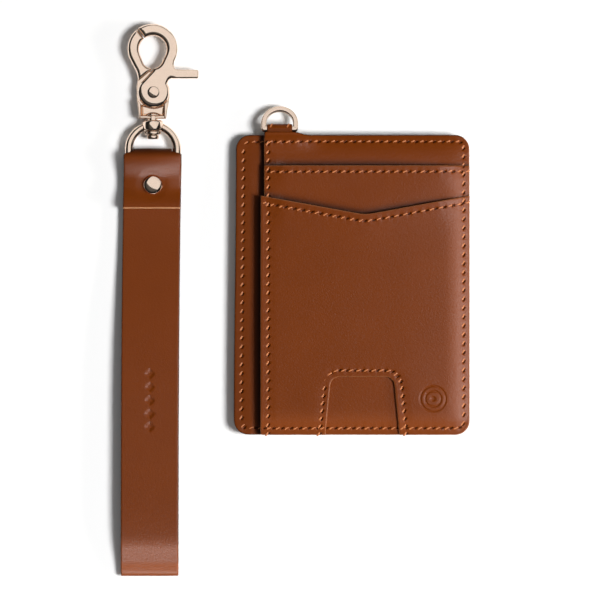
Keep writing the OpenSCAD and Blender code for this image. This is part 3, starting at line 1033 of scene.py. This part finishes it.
def section(half, thick, edge_w=0.4, edge_h=0.4, across=24):
    """Points round a strip's cross section: (offset across, offset through, edge value)."""
    top = []
    for i in range(7):
        t = math.radians(90 * i / 6)
        top.append((half - edge_w * (1 - math.cos(t)), thick / 2 - edge_h * (1 - math.sin(t)), 1 - i / 6))
    flat = np.linspace(half - edge_w, edge_w - half, across + 1)[1:-1]
    side = top + [(x, thick / 2, 0.0) for x in flat] + [(-x, z, e) for x, z, e in top[::-1]]
    return side + [(-x, -z, e) for x, z, e in side]


def strip(name, line, x, half_width, thick, relief=None, lean=None, bend=None, painted_shade=None,
          bare_ends=(0, 0), across=24):
    """A strip with rounded edges along a line of (y, z) points; half_width may vary with y.

    The second half of each section is the side to the right of the line's direction."""
    p = np.array(line)
    d = np.gradient(p, axis=0)
    d /= np.linalg.norm(d, axis=1)[:, None]
    n = np.stack([-d[:, 1], d[:, 0]], 1)
    shape = Shape()
    rings = []
    edge = []
    bare = []
    painted_light_amount = []
    for k, (y, z) in enumerate(p):
        half = half_width(k, y) if callable(half_width) else half_width
        ring = []
        for a, b, e in section(half, thick, across=across):
            push = b + (relief(k, y, a, b) if relief else 0)
            drift = lean(y) if lean else 0
            ring.append((x + a + drift, y + n[k, 0] * push, z + n[k, 1] * push))
            # The edge value is dark dye on the strip's side edges, raised by the painted shade function
            # where one is given.
            edge.append(max(e, painted_shade(y)) if painted_shade else e)
            bare.append(bare_ends[0] if k < 1 else bare_ends[1] if k > len(p) - 3 else 0)
            # Painted light on the top face, from the bend function.
            painted_light_amount.append(bend(k, y) if bend and b > 0 else 0)
        rings.append(ring)
    shape.loft(rings)
    values = {"edge": edge, "bare": bare, "bend": painted_light_amount}
    return make_object(name, shape.points, shape.faces, LEATHER, 50, values)


# ---- Ring tab and wallet ring ----

RING_BAR_R = 0.8
RING_HANG = math.radians(24)     # how far the ring hangs down where the wallet lies
BAR_Y = RING_LOW.y + RING_BAR_R
BAR_Z = RING_HIGH.z - RING_BAR_R


def build_ring_tab():
    leaf = 0.62
    r = TAB_HIGH.y - BAR_Y - leaf / 2
    root = BACK_TOP - DROOP + 0.51
    low, high = root - 0.32, root + 0.32     # the fold's two leaves where they lie in the seam
    line = [(TOP - MARGIN, low), (TOP - 1, low)]
    line += s_curve((TOP - 0.2, low), (BAR_Y, BAR_Z - r), 6)
    line += arc((BAR_Y, BAR_Z), r, -80, 80, 16)
    line += s_curve((BAR_Y, BAR_Z + r), (TOP - 0.2, high), 6)
    line += [(TOP - 1, high), (TOP - MARGIN, high)]
    # Painted shade on the tab between its bar and the wallet.
    piece = strip("tab_leather", tidy_line(line), TAB_X, TAB_HALF, leaf,
                  painted_shade=lambda y: 0.35 * smooth((BAR_Y + 0.4 - y) / 0.5))
    place(piece, "wallet", "tan_leather", "ring_tab")


def tidy_line(points, least=0.05):
    """Drops points that repeat the one before."""
    out = [points[0]]
    for p in points[1:]:
        if math.dist(p, out[-1]) > least:
            out.append(p)
    return out


def build_tab_stitching():
    """Two stitches wrapped over the corners of the tab's fold."""
    shape = Shape()
    fold_r = TAB_HIGH.y - BAR_Y + 0.05
    for side in (-1, 1):
        rings = []
        for k in range(13):
            turn = math.radians(72 - 52 * k / 12)
            x = TAB_X + side * 2.6 + 0.5 * (k / 12 - 0.5)
            centre = np.array([x, BAR_Y + fold_r * math.cos(turn), BAR_Z + fold_r * math.sin(turn)])
            out = np.array([0, math.cos(turn), math.sin(turn)])
            rings.append([tuple(centre + 0.24 * (a * np.array([1, 0, 0]) + 0.8 * b * out))
                          for a, b in round_profile(1, 10)])
        shape.loft(rings)
    thread(shape, "tab_thread", "tab_stitching")


def sweep(path, profile, up=(0, 0, 1)):
    """Rings of a profile of (outwards, up) points carried along a closed path of 3-D points.

    Outwards is to the right of the path's direction, seen from above."""
    p = np.array(path, float)
    d = np.roll(p, -1, 0) - np.roll(p, 1, 0)
    d /= np.linalg.norm(d, axis=1)[:, None]
    up = np.array(up, float)
    out = np.cross(d, up)
    return [[tuple(p[k] + out[k] * a + up * b) for a, b in profile] for k in range(len(p))]


def round_profile(r, n):
    return [(r * math.cos(2 * math.pi * i / n), r * math.sin(2 * math.pi * i / n)) for i in range(n)]


def band_profile(half_w, half_h, r, n=4):
    """Rounded rectangle, counter-clockwise."""
    points = []
    for sx, sy, start in ((1, 1, 0), (-1, 1, 90), (-1, -1, 180), (1, -1, 270)):
        points += arc((sx * (half_w - r), sy * (half_h - r)), r, start, start + 90, n)
    return points


def build_wallet_ring():
    """The flat band bent to a D, then tipped about its straight bar."""
    band = 1.65
    half = (RING_HIGH.x - RING_LOW.x) / 2 - band / 2
    reach = (RING_HIGH.y - BAR_Y - RING_BAR_R * math.sin(RING_HANG)) / math.cos(RING_HANG)
    centre_y = reach - band / 2 - half
    turn = 0.3
    flat = (arc((half - turn, turn), turn, -90, 0, 6) + arc((0, centre_y), half, 0, 180, 48)
            + arc((turn - half, turn), turn, 180, 270, 6))
    path = [(x, y, 0) for x, y in resampled(flat, 0.8)]
    rings = sweep(path, band_profile(band / 2, RING_BAR_R, 0.42))
    tipped = []
    for (_, along, _), ring in zip(path, rings):
        narrow = 1 - (1 - 2 * RING_BAR_R / band) * smooth(1 - along / 0.6)
        made = []
        for x, y, z in ring:
            y = y * narrow if along < 0.3 else y
            made.append((TAB_X + x, BAR_Y + y * math.cos(RING_HANG) + z * math.sin(RING_HANG),
                         BAR_Z - y * math.sin(RING_HANG) + z * math.cos(RING_HANG)))
        tipped.append(made)
    shape = Shape().loft(tipped, closed=True)
    cast(shape, "wallet_ring", "wallet_ring", sharp=60)


# ---- Wrist strap ----

STRAP_X = (STRAP_LOW.x + STRAP_HIGH.x) / 2
STRAP_HALF = (STRAP_HIGH.x - STRAP_LOW.x) / 2
STRAP_T = 1.5
STRAP_SLOPE = math.radians(14)   # rise of the front just after the soft bend
SOLE_Z = STRAP_T / 2
TAIL_Z = SOLE_Z + STRAP_T + 0.05
FLAP_Z = TAIL_Z + STRAP_T + 0.05
FLAP_END = 23.6
TAIL_END = 34.5
LOOP_START = 21.0
RIVET_Y = (RIVET_LOW.y + RIVET_HIGH.y) / 2
RIVET_R = (RIVET_HIGH.x - RIVET_LOW.x) / 2
WIRE_R = 1.25
LOOP_Z = (LOOP_LOW.z + LOOP_HIGH.z) / 2
STRAP_BAR_Y = LOOP_LOW.y + WIRE_R
FOLD_R = WIRE_R + 0.05 + STRAP_T / 2
BEND_Y = STRAP_LOW.y + STRAP_T / 2
CREST = (-38.0, 4.9)
FOLD_HALF = 6.1


def spaced(points, step):
    """The same open line with evenly spaced points."""
    p = np.array(points, float)
    reach = np.concatenate([[0], np.cumsum(np.linalg.norm(np.diff(p, axis=0), axis=1))])
    n = max(2, round(reach[-1] / step))
    s = np.linspace(0, reach[-1], n + 1)
    return [tuple(q) for q in np.column_stack([np.interp(s, reach, p[:, 0]), np.interp(s, reach, p[:, 1])])]


def strap_line():
    """Mid line from the flap's cut end over the ring, down the back, round the bend and up the front."""
    line = [(FLAP_END, FLAP_Z + 0.9)]
    line += s_curve((FLAP_END + 0.5, FLAP_Z + 0.85), (RIVET_Y - 1.0, FLAP_Z - 0.05), 10)
    line += s_curve((RIVET_Y + 1.5, FLAP_Z - 0.05), (STRAP_BAR_Y, LOOP_Z + FOLD_R), 16)
    line += arc((STRAP_BAR_Y, LOOP_Z), FOLD_R, 84, -84, 28)
    line += s_curve((STRAP_BAR_Y, LOOP_Z - FOLD_R), (RIVET_Y + 3.5, SOLE_Z), 8)
    line += [(BEND_Y + 6, SOLE_Z)]
    low_bend = (BEND_Y, 1.85)
    rise = math.tan(STRAP_SLOPE)
    foot = (BEND_Y + 4.2, 2.95)
    head = (foot[0] + 5.0, foot[1] + 5.0 * rise)
    line += bezier((BEND_Y + 6, SOLE_Z), (BEND_Y + 2, SOLE_Z), (BEND_Y, 1.1), low_bend, 16)
    line += bezier(low_bend, (BEND_Y, 2.5), (foot[0] - 1.7, foot[1] - 1.7 * rise), foot, 16)
    line += bezier(foot, (foot[0] + 4, foot[1] + 4 * rise), (head[0] - 1, head[1] - 0.2), head, 12)
    line += bezier(head, (head[0] + 6, head[1] + 1.15), (CREST[0] - 24, CREST[1]), CREST, 24)
    line += bezier(CREST, (CREST[0] + 26, CREST[1]), (LOOP_START - 14, TAIL_Z), (LOOP_START, TAIL_Z), 28)
    return spaced(tidy_line(line + [(TAIL_END, TAIL_Z)]), 0.4)


def strap_lean(y):
    """Sideways drift of the strap as it lies."""
    return -0.1 - 1.0 * (1 - math.exp(-max(37 - y, 0) / 45))


def diamonds(x, y):
    """Depth of the row of plain diamonds pressed into the strap's front."""
    nearest = np.clip(round((y - DIAMOND_Y) / DIAMOND_PITCH), -2, 2) * DIAMOND_PITCH + DIAMOND_Y
    away = (abs(x) + abs(y - nearest)) / DIAMOND_R
    return 0.3 * smooth((1.15 - away) / 0.45)


def build_strap():
    line = strap_line()
    last = next(k for k, (y, z) in enumerate(line) if z < LOOP_Z)

    def half_width(k, y):
        turn = math.degrees(math.atan2(line[k][1] - LOOP_Z, y - STRAP_BAR_Y))
        narrow = smooth((64 - abs(turn)) / 22) if y > STRAP_BAR_Y else 0
        return STRAP_HALF - 0.1 - (STRAP_HALF - FOLD_HALF) * narrow

    def relief(k, y, a, b):
        """On the flap a dish round the rivet, a small swell and curled edges; diamonds on the front."""
        if b < 0 or (k > last and line[k][1] < 2):
            return 0
        if k > last:
            return -diamonds(a, y)
        r = math.hypot(a, y - RIVET_Y)
        dish = -0.2 * smooth(1 - (r - RIVET_R) / 2.6)
        near = smooth((y - 26) / 5) * smooth((43 - y) / 4)
        curl = -0.45 * near * min(abs(a) / 9, 1) ** 2.4
        return dish + 0.2 * math.exp(-((y - 36.5) / 3) ** 2 - (a / 5) ** 2) + curl

    # Painted light on the front leaf's bottom band, growing towards the bend where the slope faces the
    # lamps.
    def bend(k, y):
        if k < last:
            return 0
        return 0.55 * smooth((BEND_Y + 12.5 - y) / 5.5) + 0.45 * smooth((BEND_Y + 4.6 - y) / 2)

    # Painted shade round the strap's fold over the ring's bar.
    def painted_shade(y):
        return 0.75 * smooth((y - STRAP_BAR_Y + 0.4) / 2.2)

    piece = strip("strap_leather", line, STRAP_X, half_width, STRAP_T, relief=relief, lean=strap_lean,
                  bend=bend, painted_shade=painted_shade, bare_ends=(1, 0.6), across=56)
    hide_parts("wrist_strap")
    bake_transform(piece)


# ---- Metal parts ----

def lathe(shape, profile, centre, axis, n=64, closed=False):
    """Adds a solid turned from (distance along the axis, radius) points; the axis is 'y' or 'z'."""
    x, y, z = centre
    rings = []
    for along, r in profile:
        around = round_profile(r, n)
        if axis == "y":
            rings.append([(x + v, y + along, z + u) for u, v in around])
        else:
            rings.append([(x + u, y + v, z + along) for u, v in around])
    return shape.loft(rings, closed)


def turned(start, end, r, edge):
    """Profile of a short cylinder with rounded rims."""
    low = [(start + edge - edge * math.sin(math.radians(a)), r - edge + edge * math.cos(math.radians(a)))
           for a in (90, 67, 45, 22, 0)]
    high = [(start + end - s, q) for s, q in low[::-1]]
    return [(start, 0.01)] + low + high + [(end, 0.01)]


def build_rivet():
    shape = Shape()
    base = RIVET_LOW.z - 0.12
    dome = RIVET_HIGH.z - RIVET_LOW.z
    profile = [(0, 0.01), (0, RIVET_R - 0.12), (0.06, RIVET_R - 0.03), (0.2, RIVET_R)]
    for i in range(1, 15):
        t = math.radians(90 * i / 14)
        profile.append((0.2 + (dome - 0.08) * math.sin(t), max(RIVET_R * math.cos(t) ** 0.8, 0.01)))
    lathe(shape, profile, (STRAP_X, RIVET_Y, base), "z")
    cast(shape, "rivet_cap", "strap")
    shape = Shape()
    lathe(shape, turned(0, 0.5, RIVET_R, 0.2), (STRAP_X, RIVET_Y, 0), "z")
    lathe(shape, turned(0.3, box("rivet_post")[1].z, 1.3, 0.1), (STRAP_X, RIVET_Y, 0), "z", 32)
    cast(shape, "rivet_post", "strap")


RING_R = (LOOP_HIGH.x - LOOP_LOW.x) / 2 - WIRE_R
RING_Y = STRAP_BAR_Y + 2.4
BOSS_R = 3.25
BOSS = (LOOP_HIGH.y - 3.4, LOOP_HIGH.y)
STUD_R = 1.5


def build_strap_ring():
    turn = 1.3
    flat = (arc((RING_R - turn, STRAP_BAR_Y + turn), turn, -90, 0, 8) + arc((0, RING_Y), RING_R, 0, 180, 60)
            + arc((turn - RING_R, STRAP_BAR_Y + turn), turn, 180, 270, 8))
    path = [(STRAP_X + x, y, LOOP_Z) for x, y in resampled(flat, 0.8)]
    shape = Shape().loft(sweep(path, round_profile(WIRE_R, 28)), closed=True)
    h = BOSS[1] - BOSS[0]
    profile = [(0, STUD_R + 0.05), (0, BOSS_R - 0.75), (0.1, BOSS_R - 0.5), (0.35, BOSS_R - 0.15),
               (0.75, BOSS_R), (h - 0.75, BOSS_R), (h - 0.35, BOSS_R - 0.15), (h - 0.1, BOSS_R - 0.5),
               (h, BOSS_R - 0.75), (h, STUD_R + 0.05)]
    lathe(shape, profile, (STRAP_X, BOSS[0], LOOP_Z), "y", closed=True)
    cast(shape, "strap_ring", "strap_ring")


def build_swivel():
    centre = (STRAP_X, 0, LOOP_Z)
    shape = Shape()
    lathe(shape, turned(STUD_LOW.y, STUD_LOW.y + 1.4, 1.85, 0.5), centre, "y")
    lathe(shape, turned(STUD_LOW.y + 0.5, STUD_HIGH.y - 0.8, STUD_R, 0.1), centre, "y")
    dome = [(STUD_HIGH.y - 1.2, 0.01), (STUD_HIGH.y - 1.2, 2.1), (STUD_HIGH.y - 1.0, 2.3)]
    dome += [(STUD_HIGH.y - 1.0 + math.sin(math.radians(a)), max(2.3 * math.cos(math.radians(a)), 0.01))
             for a in range(10, 91, 10)]
    lathe(shape, dome, centre, "y")
    cast(shape, "swivel_stud", "hook")
    shape = Shape()
    lathe(shape, turned(WASHER_LOW.y, WASHER_HIGH.y, 2.55, 0.3), centre, "y")
    cast(shape, "swivel_washer", "hook")


# ---- Snap hook, measured from its gate pivot ----

PIVOT = ((PIN_LOW.x + PIN_HIGH.x) / 2, (PIN_LOW.y + PIN_HIGH.y) / 2)
DISC_R = 4.9
ARM_LOW = LOOP_Z - 1.85
ARM_TOP = LOOP_Z + 1.85
PLATE_Z = GATE_HIGH.z - 1.7
CHEEK_Z = box("hook_body")[0].z
CHEEK_TOP = 3.35
FOOT_Z = CHEEK_Z - 0.75
WIDEST_BEVEL = 1.8       # the most that a bevel given as a function comes to
BEVEL_DEPTH = 1.25       # the most that a rim drops
BASE_H = PIVOT[1] - BOSS[1] - 0.4
EYE = (-0.25, 13.25)
EYE_R = 4.25
EYE_LOW = (-0.35, 10.6)
EYE_LOW_R = 3.2
HEAD = (-0.3, 13.45)
HEAD_R = 7.75
EYE_A = math.degrees(math.asin((EYE_R - EYE_LOW_R) / math.dist(EYE, EYE_LOW)))
JAW_A = 127              # where the jaw opens, in degrees round the eye
JAW_GAP = 0.3
THUMB_X = GATE_HIGH.x - PIVOT[0]


def jaw(r, side):
    """Direction of the jaw's two faces seen from the eye's centre."""
    return JAW_A + side * math.degrees(math.atan(JAW_GAP / 2 / r))


def eye_side(side):
    """Left (-1) or right (1) side of the eye, from its low point round to the jaw."""
    turn = 270 + side * (90 - EYE_A)
    end = 360 + jaw(EYE_R, -1) if side > 0 else jaw(EYE_R, 1)
    return arc(EYE_LOW, EYE_LOW_R, 270 + side * 4, turn, 14) + arc(EYE, EYE_R, turn, end, 40)[1:]


def body_arm():
    return (arc(HEAD, HEAD_R, jaw(HEAD_R, 1), 207, 30)
            + [(-6.2, 8), (-5.3, 6.3), (-4.9, 4.6), (-4.75, 3.4), (-1.1, 6.5), (-0.65, 7.1)]
            + eye_side(-1))


def gate_arm():
    return (eye_side(1)[::-1] + [(-0.1, 7.3), (0.7, 7.3), (6.35, 7.6), (6.3, 8.4), (6.5, 9.6)]
            + arc(HEAD, HEAD_R, -18, jaw(HEAD_R, -1), 48))


def cheek():
    return [(-5.3, 6.3), (-4.9, 4.6), (-5.3, 1.6), (-5.3, -1.5), (-5.05, -4.0), (4.5, -4.0),
            (5, -1.5), (4.9, 1.4), (3.6, 4.4), (1, 6), (-1.1, 6.5), (-3.2, 6.5)]


def rounded(points, r, n=5):
    """Closed line with its sharp corners replaced by arcs of about radius r."""
    out = []
    count = len(points)
    for i, p in enumerate(points):
        a = np.array(points[i - 1], float)
        b = np.array(p, float)
        c = np.array(points[(i + 1) % count], float)
        u = a - b
        v = c - b
        lu, lv = np.linalg.norm(u), np.linalg.norm(v)
        bend = math.acos(max(-1, min(1, float(u @ v) / (lu * lv))))
        if math.pi - bend < math.radians(12):
            out.append(tuple(b))
            continue
        cut = min(r / math.tan(bend / 2), lu * 0.45, lv * 0.45)
        s = b + u / lu * cut
        e = b + v / lv * cut
        out += bezier(tuple(s), tuple(s + (b - s) * 0.55), tuple(e + (b - e) * 0.55), tuple(e), n, first=0)
    return out


def plate(shape, outline, low, high, bevel_low, bevel_high, steps=6):
    """Adds a plate with rounded rims; the outline is counter-clockwise, measured from the pivot."""
    outline = ccw(outline)
    rim = np.array(resampled(outline, 0.35))
    widest = max(bevel_low, WIDEST_BEVEL if callable(bevel_high) else bevel_high)
    insets = {bevel * (1 - math.cos(math.radians(90 * k / steps)))
              for bevel in (bevel_low, widest) for k in range(1, steps + 1)}
    inner = np.concatenate(inset_rings(outline, rim, sorted(insets), 0.97))
    faces = triangulated(rim, inner)
    plane = np.concatenate([rim, inner])
    away = np.concatenate([np.zeros(len(rim)), edge_distance(inner, outline)])
    if callable(bevel_high):
        bevel_high = bevel_high(plane)
    top = np.column_stack([plane, high - quarter(away, bevel_high, np.minimum(bevel_high, BEVEL_DEPTH))])
    base = np.column_stack([plane, low + quarter(away, bevel_low, bevel_low)])
    points = np.concatenate([top, base]) + (PIVOT[0], PIVOT[1], 0)
    count = len(plane)
    faces += [[i + count for i in face[::-1]] for face in faces] + wall_faces(0, count, len(rim))
    return shape.add(points, faces)


def ccw(points):
    area = sum(a[0] * b[1] - b[0] * a[1] for a, b in zip(points, points[1:] + points[:1]))
    return points if area > 0 else points[::-1]


def build_hook_body():
    shape = Shape()
    plate(shape, rounded(body_arm(), 0.5), ARM_LOW, ARM_TOP, 0.8, 1.25)
    plate(shape, rounded(cheek(), 0.8), CHEEK_Z, CHEEK_TOP, 0.45, 0.25)
    sill = 0.95 - BASE_H
    floor_line = [(-4.3, -3.4), (-4.1, 0.5 - BASE_H), (3.5, 0.5 - BASE_H), (4.0, -3.4)]
    plate(shape, rounded(floor_line, 0.3), FOOT_Z, CHEEK_Z + 0.75, 0.2, 1.25)
    sill_line = [(-4.56, sill), (-4.4, -BASE_H), (3.8, -BASE_H), (4.0, sill)]
    plate(shape, rounded(sill_line, 0.3), FOOT_Z, 4.7, 0.35, 0.4)
    for inner, low_out, high_out in ((-3.9, -4.5, -5.2), (3.3, 3.9, 4.9)):
        post = [(low_out, -BASE_H), (high_out, -2.2), (inner, -3.6), (inner, -BASE_H)]
        plate(shape, rounded(post, 0.25), FOOT_Z, 4.9, 0.3, 0.35)
    cast(shape, "hook_body", "hook")


def gate_outline():
    """The gate seen from above: arm round the eye, disc round the pin, and thumb tab."""
    disc_from = math.degrees(math.atan2(2.7, -4.1))
    return (arc(HEAD, HEAD_R, -18, jaw(HEAD_R, -1), 48) + eye_side(1)[::-1] + [(-0.1, 7.0)]
            + arc((0, 0), DISC_R, disc_from, 390, 56)
            + [(4.75, 3.7), (5.6, 4.2), (THUMB_X, 4.2), (THUMB_X, 7), (7.6, 7), (6.7, 7.3), (6.3, 8.4),
               (6.5, 9.6)])


def gate_bevel(xy):
    """Bevel of the gate: narrow on the thumb tab, wide at the disc's lower left."""
    bevel = np.interp(xy[:, 0], (5.0, 7.0), (1.2, 0.5))
    lower_left = smooth((-0.6 * xy[:, 0] - 0.8 * xy[:, 1]) / 4)
    return bevel + 0.6 * lower_left


def build_gate():
    shape = Shape()
    plate(shape, rounded(gate_outline(), 0.6), PLATE_Z, ARM_TOP, 0.15, gate_bevel)
    plate(shape, rounded(gate_arm(), 0.5), ARM_LOW, PLATE_Z + 0.01, 0.8, 0.05)
    thumb = [(8.2, 4.25), (THUMB_X - 0.04, 4.25), (THUMB_X - 0.04, 6.95), (8.2, 6.95)]
    plate(shape, rounded(thumb, 0.6), 2.4, PLATE_Z + 0.3, 0.6, 0.05)
    cast(shape, "gate_lever", "gate", "gate_metal")


def build_gate_pin():
    shape = Shape()
    centre = (PIVOT[0], PIVOT[1], 0)
    lathe(shape, turned(PIN_LOW.z, PIN_HIGH.z - 0.2, 1.0, 0.1), centre, "z", 32)
    dome = [(PIN_HIGH.z - 0.65, 0.01), (PIN_HIGH.z - 0.65, 1.8)]
    dome += [(PIN_HIGH.z - 0.55 + 0.55 * math.sin(a), max(1.85 * math.cos(a), 0.01))
             for a in np.linspace(0, math.pi / 2, 14)]
    lathe(shape, dome, centre, "z")
    cast(shape, "gate_pin", "hook")


def build_gate_spring():
    """A torsion spring of three turns round the pin."""
    wire = 0.17
    turns = 3
    r = (SPRING_HIGH.x - SPRING_LOW.x) / 2 - wire
    low = SPRING_LOW.z + wire
    rise = SPRING_HIGH.z - SPRING_LOW.z - 2 * wire
    steps = turns * 32
    rings = []
    for k in range(steps + 1):
        t = 2 * math.pi * turns * k / steps
        centre = np.array([PIVOT[0] + r * math.cos(t), PIVOT[1] + r * math.sin(t), low + rise * k / steps])
        out = np.array([math.cos(t), math.sin(t), 0])
        ring = [tuple(centre + wire * (out * a + np.array([0, 0, 1]) * b)) for a, b in round_profile(1, 10)]
        rings.append(ring[::-1])
    shape = Shape().loft(rings)
    piece = make_object("gate_spring_wire", shape.points, shape.faces, STEEL, 60)
    place(piece, "hook", "spring_steel", "gate_spring")


# ---- Floor, light and camera ----

FLOOR_HALF = 4.0                 # metres
FLOOR_DROP = 0.00005             # keeps the floor clear of the leather that rests on it, in metres


def build_floor():
    mesh = bpy.data.meshes.new("floor")
    corners = [(x * FLOOR_HALF, y * FLOOR_HALF, 0) for x, y in ((-1, -1), (1, -1), (1, 1), (-1, 1))]
    mesh.from_pydata(corners, [], [(0, 1, 2, 3)])
    floor = bpy.data.objects.new("floor", mesh)
    bpy.context.scene.collection.objects.link(floor)
    mesh.materials.append(floor_material())
    floor.location.z = -FLOOR_DROP


VIEW_CENTRE = (-16.0, -4.7)      # what the camera looks at, in millimetres
VIEW_WIDTH = 186.0
CAMERA_HEIGHT = 1.5              # metres
SENSOR = 36


def build_camera():
    data = bpy.data.cameras.new("camera")
    data.sensor_width = SENSOR
    data.lens = SENSOR * CAMERA_HEIGHT / (VIEW_WIDTH * MM)
    data.clip_end = 20
    camera = bpy.data.objects.new("camera", data)
    camera.location = (VIEW_CENTRE[0] * MM, VIEW_CENTRE[1] * MM, CAMERA_HEIGHT)
    bpy.context.scene.collection.objects.link(camera)
    bpy.context.scene.camera = camera


def soft_box(name, direction, distance, size, energy, receivers):
    """A rectangular area light that looks at the middle of the view and lights only its receivers."""
    data = bpy.data.lights.new(name, "AREA")
    data.shape = "RECTANGLE"
    data.size, data.size_y = size
    data.energy = energy
    light = bpy.data.objects.new(name, data)
    target = Vector((VIEW_CENTRE[0] * MM, VIEW_CENTRE[1] * MM, 0))
    light.location = target + Vector(direction).normalized() * distance
    light.rotation_euler = (target - light.location).to_track_quat("-Z", "Y").to_euler()
    light.light_linking.receiver_collection = receivers
    bpy.context.scene.collection.objects.link(light)
    return light


def group(name, pieces):
    """A collection that lights can be linked to."""
    made = bpy.data.collections.new(name)
    for piece in pieces:
        made.objects.link(piece)
    return made


def build_lights():
    """Four boxes light all but the metal, one gloss the strap, and the metal mirrors a ceiling."""
    pieces = [piece for piece in bpy.context.scene.objects if piece.type == "MESH" and piece.data.materials]
    shiny = [piece.data.materials[0] in (GOLD, STEEL) for piece in pieces]
    matte = group("matte", [piece for piece, is_metal in zip(pieces, shiny) if not is_metal])
    metal = group("metal", [piece for piece, is_metal in zip(pieces, shiny) if is_metal])
    strap = group("strap", [bpy.data.objects["strap_leather"]])
    soft_box("key", (0.80, -0.16, 1.34), 1.3, (0.38, 0.38), 19.4, matte)
    side = soft_box("side", (0.96, -0.15, 0.36), 1.3, (0.5, 0.3), 8.5, matte)
    side.data.color = (1, 0.95, 0.86)
    soft_box("front", (0.05, -0.9, 0.42), 1.3, (0.6, 0.3), 1.6, matte)
    sheen = soft_box("sheen", (0.05, -0.68, 0.74), 1.3, (0.5, 0.4), 24.0, strap)
    sheen.visible_diffuse = False
    fill = soft_box("fill", (0, 0, 1), 1.9, (2.2, 2.2), 4.6, matte)
    fill.visible_glossy = False
    soft_box("ceiling", (0.33, 0.50, 1.0), 1.9, (3.6, 3.3), 29.0, metal)


def build_world():
    """What polished metal mirrors: grey up to the horizon, dark above it, a little paler overhead."""
    world = bpy.data.worlds.new("studio")
    bpy.context.scene.world = world
    world.use_nodes = True
    tree = world.node_tree
    where = tree.nodes.new("ShaderNodeTexCoord")
    split = tree.nodes.new("ShaderNodeSeparateXYZ")
    ramp = tree.nodes.new("ShaderNodeValToRGB")
    tree.links.new(where.outputs["Generated"], split.inputs[0])
    tree.links.new(split.outputs["Z"], ramp.inputs["Fac"])
    tree.links.new(ramp.outputs["Color"], tree.nodes["Background"].inputs["Color"])
    tree.nodes["Background"].inputs["Strength"].default_value = 1.0
    stops = ((0.0, 0.24), (0.08, 0.16), (0.15, 0.02), (0.60, 0.015), (0.74, 0.05), (0.88, 0.10))
    ramp.color_ramp.elements[0].position = stops[0][0]
    ramp.color_ramp.elements[1].position = stops[-1][0]
    for position, _ in stops[1:-1]:
        ramp.color_ramp.elements.new(position)
    for element, (position, level) in zip(ramp.color_ramp.elements, stops):
        element.position = position
        element.color = (level, level, level, 1)


build_camera()
build_world()
build_floor()
build_back_panel()
build_front_panel()
build_middle_pocket()
build_outer_pocket()
build_rear_pockets()
build_linings()
build_stitching()
build_rear_stitching()
build_ring_tab()
build_tab_stitching()
build_wallet_ring()
build_strap()
build_rivet()
build_strap_ring()
build_swivel()
build_hook_body()
build_gate()
build_gate_pin()
build_gate_spring()
build_lights()

bpy.context.scene.view_settings.view_transform = "Standard"
